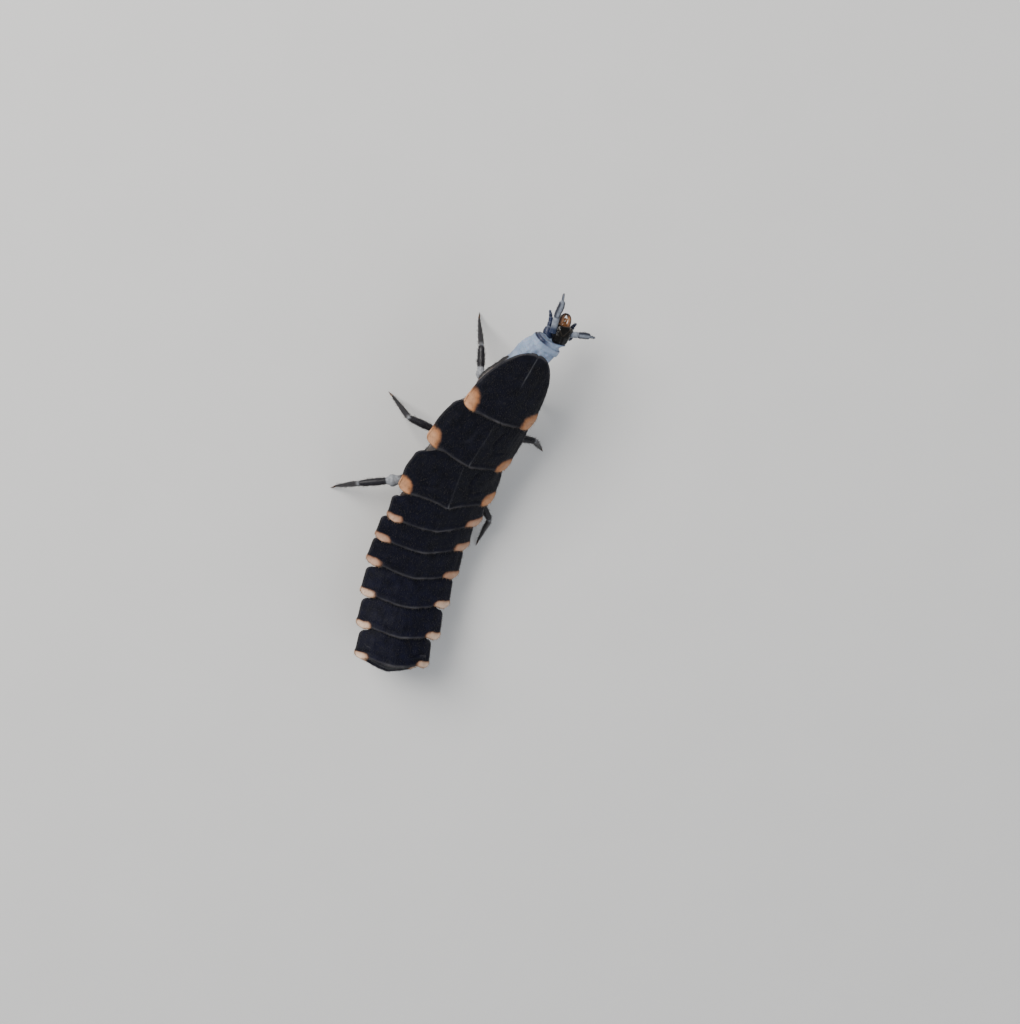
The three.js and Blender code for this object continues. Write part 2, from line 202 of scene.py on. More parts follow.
def make(name, points, faces, material, replaces=(), marks=None, uv=None):
    """One piece of the animal from millimetre points, with its marks as a colour at each point."""
    mesh = bpy.data.meshes.new(name)
    mesh.from_pydata(np.asarray(points) * MM, [], [list(map(int, f)) for f in faces])
    if marks is not None:
        layer = mesh.color_attributes.new("marks", "FLOAT_COLOR", "POINT")
        values = np.zeros((len(points), 4))
        values[:, :marks.shape[1]] = marks
        layer.data.foreach_set("color", values.ravel())
    if uv is not None:
        layer = mesh.uv_layers.new(name="OFBake")
        corner = np.zeros(len(mesh.loops), int)
        mesh.loops.foreach_get("vertex_index", corner)
        layer.data.foreach_set("uv", np.asarray(uv)[corner].ravel())
    else:
        work = bmesh.new()
        work.from_mesh(mesh)
        bmesh.ops.recalc_face_normals(work, faces=work.faces)
        work.to_mesh(mesh)
        work.free()
    mesh.shade_smooth()
    mesh.materials.append(material)
    piece = bpy.data.objects.new(name, mesh)
    bpy.context.collection.objects.link(piece)
    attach(piece, "root")
    if replaces:
        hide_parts(*replaces)
    return piece


def tube_faces(rings, sides, first=0):
    """Faces of a closed tube over rings of equally many points."""
    a = first + (np.arange(rings - 1)[:, None] * sides + np.arange(sides)).ravel()
    b = first + (np.arange(rings - 1)[:, None] * sides + (np.arange(sides) + 1) % sides).ravel()
    faces = np.stack([a, b, b + sides, a + sides], 1).tolist()
    faces.append(list(range(first, first + sides)))
    faces.append(list(range(first + (rings - 1) * sides, first + rings * sides))[::-1])
    return faces


def ring(half, depth, sides, power=SECTION_POWER):
    """A rounded section in x and z."""
    c, s = np.cos(turns(sides)), np.sin(turns(sides))
    x = half * np.sign(c) * np.abs(c) ** power
    z = depth / 2 * np.sign(s) * np.abs(s) ** power
    return np.stack([x, np.zeros(sides), z], 1)


def carried_frames(path, up):
    """The direction of a path and two across it at each of its places, carried along without twist."""
    along = unit(np.gradient(path, axis=0))
    across = unit(np.cross(along[0], up))
    frames = []
    for direction in along:
        across = unit(across - direction * (across @ direction))
        frames.append((across, np.cross(across, direction)))
    return along, np.array([f[0] for f in frames]), np.array([f[1] for f in frames])


def tube_points(path, radii, sides=20, flat=1.0, relief=0.0, seed=0, up=(0, 0, 1)):
    """Rings of a tube along a path. flat is its height over its width, and relief roughens it."""
    _, across, rise = carried_frames(path, up)
    theta = turns(sides)
    wide = np.asarray(radii)[:, None] * np.ones(sides)
    if relief:
        at = run_along(path)[:, None] + 0 * theta
        wide = wide + relief * granules(at, theta * np.mean(radii) + 0 * at, TUBE_GRAIN, seed)
    return (path[:, None] + across[:, None] * (wide * np.cos(theta))[..., None]
            + rise[:, None] * (flat * wide * np.sin(theta))[..., None])


class Parts:
    """Points, faces and marks of many small closed forms, gathered into one piece."""

    def __init__(self):
        self.points, self.faces, self.marks, self.size = [], [], [], 0

    def add(self, points, faces, marks):
        self.points.append(points)
        self.faces.extend([[i + self.size for i in face] for face in faces])
        self.marks.append(np.broadcast_to(marks, (len(points), 3)) if np.ndim(marks) < 2 else marks)
        self.size += len(points)

    def tube(self, path, radii, marks=(0, 0, 0), **shape):
        """A tube along a path, with marks for all of it, for each ring or for each point."""
        points = tube_points(path, radii, **shape)
        rings, sides = points.shape[:2]
        marks = np.asarray(marks, float)
        if marks.ndim == 2:
            marks = np.repeat(marks, sides, axis=0)
        elif marks.ndim == 3:
            marks = marks.reshape(-1, 3)
        self.add(points.reshape(-1, 3), tube_faces(rings, sides), marks)
        return points

    def piece(self, name, material, slot, replaces=()):
        return make(name, np.concatenate(self.points), self.faces, material, replaces,
                    np.concatenate(self.marks))


# Frames along the body

FRONTS = [BACK_START]
SPINS = [rotation(*angles) for angles in ANGLES]
HEAD_SPIN = rotation(*HEAD_ANGLES)
for index in range(COUNT):
    FRONTS.append(FRONTS[-1] + SPINS[index] @ [0, LENGTH[index], 0])


def in_segment(k, local):
    """Local millimetres of segment k, as x left, y toward the tail and z up, into the row frame."""
    return FRONTS[k] + local @ SPINS[k].T


def border(k):
    """Half width, depth and shift of the body at the border in front of segment k, and its angles."""
    if k == 0:
        return NECK_HALF, NECK_DEPTH, NECK_UNDER, ANGLES[0]
    after = min(k, COUNT - 1)
    half = PINCH * FLESH_WIDTH * (HALF[k - 1] + HALF[after]) / 2
    depth = PINCH * (DEPTH[k - 1] + DEPTH[after]) / 2
    shift = -OVERHANG * HALF[after] / WIDEST if k < COUNT else 0
    return half, depth, shift, (ANGLES[k - 1] + ANGLES[after]) / 2


def narrowing(k, v):
    return np.sqrt(1 - 0.88 * (1 - v) ** 2) if k == 0 else 1 - 0.16 * (1 - v) ** 3


def skin_at(k, t, theta):
    """The body's skin at part t of segment k and angle theta, for whole arrays, with its outward
    direction across the body."""
    near = k if t < 0.5 else k + 1
    near_half, near_depth, near_shift, near_angles = border(near)
    share = abs(2 * t - 1)
    slim = 1 - 0.27 * smooth(0.85, 0.25, t) * (k == 0)
    half = lerp(FLESH_WIDTH * HALF[k] * slim * (narrowing(k, t) - 0.07 * t ** 8), near_half, share ** 2)
    depth = lerp(DEPTH[k], near_depth, share ** 2) - FLESH_TOP
    spin = rotation(*lerp(ANGLES[k], near_angles, share))
    middle = lerp(FRONTS[k], FRONTS[k + 1], t) + spin @ [0, near_shift * share, 0]
    c, s = np.cos(theta), np.sin(theta)
    x = np.sign(c) * np.abs(c) ** SECTION_POWER
    z = np.sign(s) * np.abs(s) ** SECTION_POWER
    # two soft folds along each side, with a groove between them
    low = np.degrees(np.arctan2(s, np.abs(c)))
    folds = bell(low + 4, 11) + bell(low + 36, 12)
    grow = 0.09 * folds * (1 - share ** 4) - 0.05 * bell(low + 20, 6)
    if k > 0:
        # a crease at each border, and fine pleats beside it
        grow = grow - 0.10 * bell(1 - share, 0.07)
        grow = grow + 0.018 * np.sin(2 * pi * (1 - share) / 0.085) * smooth(0.45, 0.8, share)
    # wrinkles, most toward the borders, then finer ones, long creases and grains
    around, run = theta * half, np.full_like(theta, FRONTS[k][1] + t * LENGTH[k])
    grow = grow + 0.02 * waves(around, run, 0.5, 3) * (0.4 + 0.6 * smooth(0.2, 0.8, share))
    grow = grow + 0.011 * waves(around, 1.6 * run, 0.24, 8)
    grow = grow - 0.033 * bell(waves(around, 0.7 * run, 0.9, 9), 0.13)
    grow = grow + 0.010 * granules(around, run, 0.16, 4)
    local = np.stack([half * x + grow * c, 0 * x, depth / 2 * z + grow * s - FLESH_TOP - depth / 2], 1)
    return middle + local @ spin.T, np.stack([c, 0 * c, s], 1) @ spin.T


# Materials

def material(name, roughness=0.5, **inputs):
    """A new material: its node helper, with the shader's fixed values set on its own sockets."""
    made = bpy.data.materials.new(name)
    made.use_nodes = True
    shader = made.node_tree.nodes["Principled BSDF"]
    shader.inputs["Roughness"].default_value = roughness
    for key, value in inputs.items():
        shader.inputs[key.replace("_", " ")].default_value = value
    return Nodes(made)


def opaque(colour):
    """A colour or a grey with an alpha of 1. A socket stays as it is."""
    if isinstance(colour, (int, float)):
        colour = (colour, colour, colour)
    return (*colour, 1) if isinstance(colour, tuple) else colour


class Nodes:
    """A small hand for building a material's nodes. Sizes are in millimetres."""

    def __init__(self, made):
        self.material = made
        self.tree = made.node_tree
        self.shader = self.tree.nodes["Principled BSDF"]
        self.place = self.tree.nodes.new("ShaderNodeTexCoord").outputs["Object"]

    def node(self, kind, **values):
        made = self.tree.nodes.new(kind)
        for key, value in values.items():
            setattr(made, key, value)
        return made

    def join(self, value, socket):
        if isinstance(value, bpy.types.NodeSocket):
            self.tree.links.new(value, socket)
        else:
            socket.default_value = value

    def noise(self, size, detail=4, rough=0.55, distort=0.0):
        made = self.node("ShaderNodeTexNoise")
        self.join(self.place, made.inputs["Vector"])
        made.inputs["Scale"].default_value = 1 / (size * MM)
        made.inputs["Detail"].default_value = detail
        made.inputs["Roughness"].default_value = rough
        made.inputs["Distortion"].default_value = distort
        return made.outputs["Fac"]

    def cells(self, size):
        made = self.node("ShaderNodeTexVoronoi")
        self.join(self.place, made.inputs["Vector"])
        made.inputs["Scale"].default_value = 1 / (size * MM)
        return made.outputs["Distance"]

    def marks(self):
        """The three marks that the mesh carries at each point."""
        made = self.node("ShaderNodeAttribute", attribute_name="marks")
        parted = self.node("ShaderNodeSeparateColor")
        self.join(made.outputs["Color"], parted.inputs["Color"])
        return parted.outputs["Red"], parted.outputs["Green"], parted.outputs["Blue"]

    def ramp(self, factor, *stops):
        """A colour or grey scale over a factor: each stop is (place, colour or grey)."""
        made = self.node("ShaderNodeValToRGB")
        self.join(factor, made.inputs["Fac"])
        elements = made.color_ramp.elements
        while len(elements) < len(stops):
            elements.new(0.5)
        for element, (at, colour) in zip(elements, stops):
            element.position = at
            element.color = opaque(colour)
        return made.outputs["Color"]

    def mask(self, factor, low, high, most=1):
        """Rises from 0 where the factor is low to most where it is high."""
        return self.ramp(factor, (low, 0), (high, most))

    def mottled(self, size, dark, light, high=0.7, detail=5, rough=0.6):
        """Two colours that run into each other in patches."""
        return self.ramp(self.noise(size, detail, rough), (0.3, dark), (high, light))

    def mix(self, factor, a, b):
        made = self.node("ShaderNodeMix", data_type="RGBA")
        self.join(factor, made.inputs[0])
        self.join(opaque(a), made.inputs[6])
        self.join(opaque(b), made.inputs[7])
        return made.outputs[2]

    def math(self, a, b, kind="ADD"):
        made = self.node("ShaderNodeMath", operation=kind)
        self.join(a, made.inputs[0])
        self.join(b, made.inputs[1])
        return made.outputs[0]

    def bump(self, height, depth, normal=None, strength=0.6):
        """A bump as deep as depth in millimetres."""
        made = self.node("ShaderNodeBump")
        made.inputs["Strength"].default_value = strength
        made.inputs["Distance"].default_value = depth * MM
        self.join(height, made.inputs["Height"])
        if normal is not None:
            self.join(normal, made.inputs["Normal"])
        return made.outputs["Normal"]

    def finish(self, colour, normal=None, roughness=None):
        self.join(colour, self.shader.inputs["Base Color"])
        if normal is not None:
            self.join(normal, self.shader.inputs["Normal"])
        if roughness is not None:
            self.join(roughness, self.shader.inputs["Roughness"])
        return self.material


def plate_material(name, deep, pale, blue):
    """Velvety black plates with some blue. Marks: the corner spot, the rim and the thin line down the
    middle."""
    m = material(name, Sheen_Weight=0.015, Sheen_Roughness=0.4, Specular_IOR_Level=0.12)
    spot, rim, line = m.marks()
    ground = m.mottled(0.5, (0.0016, 0.0017, 0.0042 * blue), (0.0046, 0.0050, 0.0125 * blue))
    # Painted glints: fine pale grey speckles over the dark ground stand in for light caught by the grains
    ground = m.mix(m.mask(m.noise(0.06, 2), 0.5, 0.78, 0.6), ground, (0.020, 0.020, 0.026))
    ground = m.mix(rim, ground, (0.075, 0.072, 0.078))
    ground = m.mix(line, ground, (0.12, 0.12, 0.13))
    edge = m.math(spot, m.math(m.math(m.noise(0.10, 3), -0.5), 0.10, "MULTIPLY"))
    inside = m.mix(m.mask(m.noise(0.35, 3), 0.35, 0.7), deep, pale)
    stain = m.ramp(edge, (0.44, (0.012, 0.008, 0.008)), (0.51, (0.11, 0.055, 0.036)), (0.60, deep),
                   (0.84, pale))
    stain = m.mix(m.mask(edge, 0.6, 0.8, 0.5), stain, inside)
    colour = m.mix(m.mask(edge, 0.43, 0.50), ground, stain)
    normal = m.bump(m.cells(0.05), 0.010, strength=0.4)
    normal = m.bump(m.noise(0.35, 5, 0.6), 0.03, normal, 0.5)
    return m.finish(colour, normal, m.mix(m.mask(spot, 0.46, 0.54), 0.58, 0.45))


def skin_material():
    """Marks: neck, the painted shade on its rim (a dark navy band in the rim's fold and behind the head), and
    pale folds of the sides and belly.
    """
    m = material("skin", Subsurface_Weight=0.12, Subsurface_Scale=0.0004, Sheen_Weight=0.1)
    neck, painted_rim_shade, fold = m.marks()
    body = m.mottled(0.4, (0.016, 0.013, 0.013), (0.05, 0.040, 0.038), 0.75)
    side = m.mottled(0.3, (0.13, 0.090, 0.078), (0.30, 0.215, 0.185))
    body = m.mix(fold, body, side)
    body = m.mix(m.mask(m.noise(0.07, 4, 0.7), 0.50, 0.66, 0.75), body, (0.030, 0.021, 0.019))
    pale = m.mottled(0.55, (0.18, 0.245, 0.37), (0.35, 0.43, 0.58))
    # painted shade: the rim's fold and the neck behind the head are darkened to navy
    pale = m.mix(painted_rim_shade, pale, (0.010, 0.018, 0.060))
    colour = m.mix(neck, body, pale)
    wrinkles = m.bump(m.noise(0.12, 5, 0.65, 0.6), 0.04, strength=0.7)
    normal = m.bump(m.cells(0.05), 0.014, wrinkles, 0.5)
    warts = m.mix(neck, m.noise(0.09, 5, 0.7), 0.5)
    normal = m.bump(warts, 0.07, normal, 0.8)
    return m.finish(colour, normal, m.mix(neck, 0.55, 0.38))


def shell_material(name, dark, mid, roughness, grain=0.05, membrane=(0.31, 0.32, 0.345), shine=0.3,
                   stained=(0.17, 0.065, 0.02)):
    """Hard dark shell with pale soft joints. Marks: membrane, edge and stain."""
    m = material(name, roughness, Coat_Weight=0.3 * shine, Coat_Roughness=0.25, Specular_IOR_Level=shine)
    soft, rim, stain = m.marks()
    colour = m.mottled(0.25, dark, mid, 0.75)
    colour = m.mix(rim, colour, (0.10, 0.075, 0.055))
    soft_colour = m.mottled(0.12, tuple(0.6 * c for c in membrane), membrane, 0.68, rough=0.55)
    colour = m.mix(soft, colour, soft_colour)
    colour = m.mix(stain, colour, stained)
    normal = m.bump(m.cells(grain), 0.009, strength=0.5)
    normal = m.bump(m.noise(0.2, 4), 0.015, normal, 0.4)
    return m.finish(colour, normal)


def plain_material(name, low, high, roughness, size=0.2, depth=0.01, **inputs):
    """Colour and fine relief that vary between two tones."""
    m = material(name, roughness, **inputs)
    return m.finish(m.mottled(size, low, high, 0.72), m.bump(m.noise(size / 2, 4), depth, strength=0.5))


def jaw_material():
    """Amber jaws. Marks: the dark outer edge and the dark tip."""
    m = material("jaw", 0.22, Coat_Weight=0.5, Coat_Roughness=0.1, Subsurface_Weight=0.1,
                 Subsurface_Scale=0.0003)
    edge, tip, _ = m.marks()
    colour = m.mottled(0.2, (0.19, 0.068, 0.022), (0.38, 0.19, 0.085), detail=4, rough=0.55)
    colour = m.mix(edge, colour, (0.035, 0.012, 0.006))
    colour = m.mix(tip, colour, (0.02, 0.008, 0.005))
    return m.finish(colour, m.bump(m.noise(0.08, 3), 0.006, strength=0.4))


def bristle_material():
    """Marks: how pale the bristle is."""
    m = material("bristle", 0.4)
    pale, _, _ = m.marks()
    dark = m.mottled(0.2, (0.020, 0.018, 0.018), (0.060, 0.052, 0.050), 0.72)
    straw = m.mottled(0.2, (0.20, 0.10, 0.05), (0.42, 0.26, 0.15), 0.72)
    return m.finish(m.mix(pale, dark, straw), m.bump(m.noise(0.1, 4), 0.01, strength=0.5))


# From the thorax to the tail the spots turn from orange through brown to cream. The darker brown of the first
# three abdominal spots is partly their own tone and partly painted shade
thorax_plate = plate_material("thorax_plate", (0.42, 0.18, 0.08), (0.61, 0.325, 0.18), 0.95)
middle_plate = plate_material("middle_plate", (0.35, 0.185, 0.115), (0.55, 0.35, 0.245), 1.1)
rear_plate = plate_material("rear_plate", (0.48, 0.30, 0.20), (0.74, 0.55, 0.42), 1.3)
PLATE_FINISH = 3 * [thorax_plate] + 3 * [middle_plate] + 6 * [rear_plate]
skin_finish = skin_material()
sclerite = shell_material("sclerite", (0.010, 0.009, 0.010), (0.026, 0.024, 0.026), 0.5)
leg_shell = shell_material("leg_shell", (0.007, 0.006, 0.009), (0.020, 0.018, 0.023), 0.42)
head_shell = shell_material("head_shell", (0.0016, 0.0014, 0.0012), (0.005, 0.0036, 0.0026), 0.21, 0.07,
                            shine=0.24)
feeler_shell = shell_material("feeler_shell", (0.008, 0.010, 0.020), (0.024, 0.028, 0.045), 0.4, 0.05,
                              (0.30, 0.33, 0.39), stained=(0.014, 0.023, 0.055))
palp_shell = shell_material("palp_shell", (0.006, 0.010, 0.028), (0.018, 0.028, 0.075), 0.36, 0.05,
                            (0.24, 0.27, 0.34))
jaw_finish = jaw_material()
claw_finish = plain_material("claw", (0.02, 0.008, 0.004), (0.09, 0.035, 0.012), 0.25,
                             Coat_Weight=0.4, Coat_Roughness=0.1)
eye_finish = plain_material("eye", (0.004, 0.004, 0.005), (0.010, 0.009, 0.012), 0.08, 0.1, 0.002,
                            Coat_Weight=1.0, Coat_Roughness=0.03)
bristle_finish = bristle_material()
glow_finish = plain_material("glow", (0.60, 0.60, 0.38), (0.78, 0.77, 0.55), 0.4,
                             Subsurface_Weight=0.25, Subsurface_Scale=0.0004)
holdfast_finish = plain_material("holdfast", (0.42, 0.36, 0.28), (0.72, 0.66, 0.56), 0.32, 0.12, 0.03,
                                 Subsurface_Weight=0.3, Subsurface_Scale=0.0003, Coat_Weight=0.3)


# Bristles, each a thin three-sided spine on the surface, with the bake map's patch at its root

PATCH = 0.0015


def bristles(name, roots, heads, lengths, radius, uv, pale=0.0):
    """A coat of spines. pale is 0 for the dark ones and up to 1 for those on pale ground."""
    heads = unit(heads)
    side = unit(np.cross(heads, [0.3, 0.2, 0.93]))
    rise = np.cross(side, heads)
    lengths = np.asarray(lengths)[:, None]
    feet = [roots + radius * (np.cos(a) * side + np.sin(a) * rise) for a in (0, 2 * pi / 3, 4 * pi / 3)]
    tips = roots + heads * lengths
    points = np.stack([*feet, tips], 1).reshape(-1, 3)
    base = 4 * np.arange(len(roots))[:, None, None]
    faces = (base + np.array([[0, 2, 1], [0, 1, 3], [1, 2, 3], [2, 0, 3]])).reshape(-1, 3)
    patch = PATCH * np.array([[-1, -1], [1, -1], [0, 1], [0, 0]])
    spread = (np.asarray(uv)[:, None] + patch).reshape(-1, 2)
    marks = np.repeat(pale * np.ones(len(roots)), 4)[:, None] * [1, 0, 0]
    return make(name, points, faces, bristle_finish, marks=marks, uv=spread)


# Plates of the back

def grid_faces(rows, columns, first=0, over=True):
    """The quads of a grid of (rows + 1) by (columns + 1) points, facing up or, if not over, down."""
    across = columns + 1
    corners = [first + i * across + j for i in range(rows) for j in range(columns)]
    if over:
        return [[a, a + across, a + across + 1, a + 1] for a in corners]
    return [[a, a + 1, a + across + 1, a + across] for a in corners]


def grid_loop(rows, columns):
    """The border of such a grid, from its first point along the rows and round."""
    across = columns + 1
    loop = [i * across for i in range(rows)]
    loop += [rows * across + j for j in range(columns)]
    loop += [i * across + columns for i in range(rows, 0, -1)]
    return loop + list(range(columns, 0, -1))


def loop_faces(outer, inner):
    """Quads between two loops of equally many points."""
    return [[a, b, d, c] for a, b, c, d in zip(outer, inner, outer[1:] + outer[:1], inner[1:] + inner[:1])]


def corner(distance, radius):
    """How far a rounded corner draws in the edge at a distance from the end."""
    c = np.clip((radius - distance) / radius, 0, 1)
    return radius * (1 - np.sqrt(1 - c ** 2))


def on_plate(k, points):
    """Points of a plate, turned over its flesh, into the row frame."""
    middle = np.array([0, LENGTH[k] / 2, 0])
    turned = (points - middle) @ rotation(-PLATE_TURN[k], 0, 0).T
    return in_segment(k, middle + turned + [PLATE_SHIFT[k], 0, 0])


def plate_outline(k, v):
    """Half width at part v of the plate's length: a dome at the front of the body, then shoulders that
    spread toward the rear, each with a small swelling at the rear corner."""
    length, half = LENGTH[k], HALF[k]
    size = min(1, half / 2)
    if k == 0:
        wide, front_round = 0.985 * narrowing(0, v), 0.01
    elif k < THORAX:
        wide, front_round = 0.93 + 0.09 * smooth(0.0, 0.6, v), 0.55
    else:
        wide, front_round = 0.975 + 0.04 * v, 0.34
    wide = half * (wide + 0.02 * bell(v - 0.86, 0.09))
    run = v * length
    return wide - corner(run, front_round * size) - corner(length - run, 0.30 * size)


def rear_edge(k, side):
    """How far back the plate reaches at a part of its half width, as a part of its length."""
    lobe = smooth(0.62, 0.84, side)
    if k == 0:
        return 1.01 - 0.02 * side ** 2 + 0.02 * lobe
    if k == 1:
        return 1.0 - 0.11 * side ** 1.3 + 0.05 * lobe
    if k == 2:
        return 0.98 - 0.12 * (1 - np.exp(-side / 0.35)) + 0.03 * lobe
    return 0.965 - 0.22 * side ** 1.5 + 0.15 * smooth(0.68, 1.0, side)


def thorax_relief(x, y, length, half):
    """A low swelling in each half, with a curved furrow round its inner side."""
    dx, dy = np.abs(x) - 0.55 * half, y - 0.37 * length
    bent = dx + 0.25 * dy + 0.05 * waves(x, y, 1.2, 5)
    reach = np.hypot(bent, 0.85 * dy)
    furrow = bell(reach - 0.70, 0.11) * smooth(0.15, -0.45, dx - 0.45 * dy)
    rise = bell(bent - 0.10, 0.55) * bell(dy, 0.60)
    return -0.08 * furrow + 0.03 * rise


# Dents on each half of a plate: depth, place and width across, then place and length along. The places
# are in millimetres on the first plate, and parts of its half width and length on the abdomen's
DENTS = {
    "prothorax": [(0.07, 0.8, 0.35, 3.2, 0.5), (0.05, 1.0, 0.28, 1.9, 0.7)],
    "abdomen": [(0.05, 0.42, 0.3, 0.4, 0.3), (0.03, 0.75, 0.16, 0.45, 0.4)],
}


def plate_height(k, x, y, v, fine=True):
    """Height of a plate over its frame, with ridge, furrows, raised rim and grains."""
    length, half = LENGTH[k], HALF[k]
    aside = np.abs(x)
    behind = to_rear(k, x, y)
    # the arch, and a ridge along the middle with a thin groove on top
    z = PLATE_LIFT * (v - 1) - DROP[k] * (aside / half) ** 2.2
    ridge = 0.20 if 0 < k < THORAX else 0.11
    z = z - ridge * (1 - np.exp(-aside / 0.55)) - 0.08 * smooth(0.75, 1.05, aside / half)
    z = z - (0.035 if k < THORAX else 0.012) * bell(x, 0.05)
    # the raised rear rim, with a furrow before it
    z = z + 0.045 * bell(behind, 0.10) - 0.03 * bell(behind - 0.28, 0.12)
    # where the tail curls, the front edge dips under the plate before
    if k >= CURLED:
        z = z - 0.22 * np.exp(-v / 0.16)
    spot = spot_marks(k, x, y)
    z = z + 0.06 * smooth(0.42, 0.75, spot)
    if 0 < k < THORAX:
        z = z + thorax_relief(x, y, length, half)
    else:
        for depth, at_x, wide, at_y, long in DENTS["prothorax" if k == 0 else "abdomen"]:
            at_x, at_y = (at_x, at_y) if k == 0 else (at_x * half, at_y * length)
            z = z - depth * bell(aside - at_x, wide) * bell(y - at_y, long)
    z = z + 0.014 * waves(x, y, 0.9, k) + 0.008 * waves(x, 0.25 * y, 0.35, 60 + k)
    if fine:
        grain = 0.015 * granules(x, y, 0.085, k) * smooth(0, 0.08, behind)
        z = z + grain * (1 - 0.8 * smooth(0.42, 0.6, spot))
    return z


def plate_xy(k, u, v):
    """Place of the plate's grid in its frame: the front is tucked under the plate before."""
    length = LENGTH[k]
    if k == 0:
        start = 0.28 * u ** 2 + 0.07 * bell(u, 0.12)
    elif k < CURLED:
        start = -TUCK + 0.46 * u ** 4 + np.sin(np.radians(PLATE_TURN[k])) * HALF[k] * np.minimum(u, 0)
    else:
        start = 0.04 + 0.06 * u ** 4
    ripple = 0.028 * waves(u * HALF[k], np.full_like(u, 3.0 * k), 0.8, 20 + k)
    end = length * rear_edge(k, np.abs(u)) + ripple * (1 - u ** 4)
    end = end - 0.08 * bell(u * HALF[k], 0.08) * (k < THORAX)
    x = u * plate_outline(k, v)
    return x, start + (end - start) * v


def to_rear(k, x, y):
    """Millimetres from a place on the plate to its rear edge."""
    return LENGTH[k] * rear_edge(k, np.clip(np.abs(x) / HALF[k], 0, 1)) - y


# Spots of the three plates of the thorax, then of the abdomen: half width, half length, and their
# middle's distance from the side and from the rear
SPOTS = [(0.64, 0.98, 0.0, 0.24), (0.57, 0.78, 0.0, 0.20), (0.55, 0.72, 0.0, 0.18), (0.64, 0.36, 0.10, 0.04)]
LAST_SPOT = 11


def spot_marks(k, x, y):
    """The rounded pale spot in each rear corner: about 1 in its middle and 0.5 on its edge. Those on
    the right reach farther in along the rear edge."""
    if k >= LAST_SPOT:
        return 0 * x
    half = HALF[k]
    wide, long, from_side, from_rear = SPOTS[k] if k < THORAX else SPOTS[-1]
    size = 1 if k < THORAX else min(1, half / 2.6)
    wide = wide * np.where(x < 0, 1.35, 1)
    long = long * np.where(x < 0, 0.78 if k < THORAX else 1, 1)
    dx = (np.abs(x) - half + from_side * size) / (wide * size)
    dy = (from_rear * size - to_rear(k, x, y)) / (long * size)
    away = (np.abs(dx) ** 2.4 + np.abs(dy) ** 2.4) ** (1 / 2.4)
    return np.clip(1 - 0.5 * away + 0.025 * waves(x, y, 0.4, 80 + k), 0, 1)


# A plate's rows across the body, and how many rows and columns, and millimetres of its length, there are
# to each of its coarser underside
PLATE_ROWS = 150
UNDER_ROWS, UNDER_COLUMNS = 6, 8
UNDER_STEP = 0.32


def back_plate(k):
    rows, columns = PLATE_ROWS, max(24, UNDER_COLUMNS * round(LENGTH[k] / UNDER_STEP))
    u, v = np.meshgrid(np.linspace(-1, 1, rows + 1), np.linspace(0, 1, columns + 1), indexing="ij")
    u, v = u.ravel(), v.ravel()
    x, y = plate_xy(k, u, v)
    z = plate_height(k, x, y, v)
    top = np.stack([x, y, z], 1)
    behind = to_rear(k, x, y)
    middle_lobe = 0.5 + 0.5 * bell(x, 0.8)
    edge = np.maximum(smooth(0.13, 0.02, behind) * middle_lobe, 0.35 * smooth(0.03, 0.0, 1 - np.abs(u)))
    if k == 0:
        from_edge = np.minimum(y - plate_xy(0, u, 0 * v)[1], (1 - np.abs(u)) * plate_outline(0, v))
        edge = np.maximum(edge, 0.8 * smooth(0.13, 0.05, from_edge) * smooth(0.35, 0.05, v))
        line = smooth(0.55, 0.30, v) * smooth(0.01, 0.05, v)
    elif k < THORAX:
        line = 0.25 * smooth(0.1, 0.3, v) + 0.6 * smooth(0.5, 0.1, behind)
    else:
        line = 0.08 * v
    line = 0.8 * line * bell(x, 0.035) * (0.75 + 0.25 * waves(x, y, 0.5, 50 + k))
    rim = edge * (0.75 + 0.25 * waves(x, y, 0.6, 40 + k))
    spot = spot_marks(k, x, y)
    marks = np.stack([spot, np.clip(rim, 0, 1), np.clip(line, 0, 1)], 1)
    # the rounded edge
    loop = grid_loop(rows, columns)
    around = top[loop]
    travel = unit((np.roll(around, -1, 0) - np.roll(around, 1, 0)) * [1, 1, 0])
    outward = np.stack([travel[:, 1], -travel[:, 0], 0 * travel[:, 0]], 1)
    middle = around + 0.45 * PLATE_THICKNESS * outward - [0, 0, 0.5 * PLATE_THICKNESS]
    middles = list(range(len(top), len(top) + len(loop)))
    faces = grid_faces(rows, columns) + loop_faces(loop, middles)
    # the plain underside, coarser
    coarse_rows, coarse_columns = rows // UNDER_ROWS, columns // UNDER_COLUMNS
    kept = [i * (columns + 1) + j for i in range(0, rows + 1, UNDER_ROWS)
            for j in range(0, columns + 1, UNDER_COLUMNS)]
    bottom = top[kept] - [0, 0, PLATE_THICKNESS]
    first_bottom = len(top) + len(loop)
    faces += grid_faces(coarse_rows, coarse_columns, first_bottom, over=False)
    inner = [first_bottom + index for index in grid_loop(coarse_rows, coarse_columns)]
    # each side of the loops has its own count, so they are joined side by side
    faces += stitch_sides(middles, inner, (rows, columns, rows, columns),
                          (coarse_rows, coarse_columns, coarse_rows, coarse_columns))
    points = np.concatenate([top, middle, bottom])
    all_marks = np.concatenate([marks, marks[loop], marks[kept]])
    make(f"plate_{NAMES[k]}", on_plate(k, points), faces, PLATE_FINISH[k], [NAMES[k]],
         all_marks)


def stitch_sides(outer, inner, outer_counts, inner_counts):
    """Joins two loops one side after another."""
    faces, a, b = [], 0, 0
    for n, m in zip(outer_counts, inner_counts):
        i = j = 0
        while i < n or j < m:
            here = outer[(a + i) % len(outer)]
            there = inner[(b + j) % len(inner)]
            if j == m or (i < n and (i + 1) / n <= (j + 1) / m):
                faces.append([here, there, outer[(a + i + 1) % len(outer)]])
                i += 1
            else:
                faces.append([here, there, inner[(b + j + 1) % len(inner)]])
                j += 1
        a += n
        b += m
    return faces


HAIRS_PER_MM2 = 75
EDGE_HAIRS_PER_MM = 30


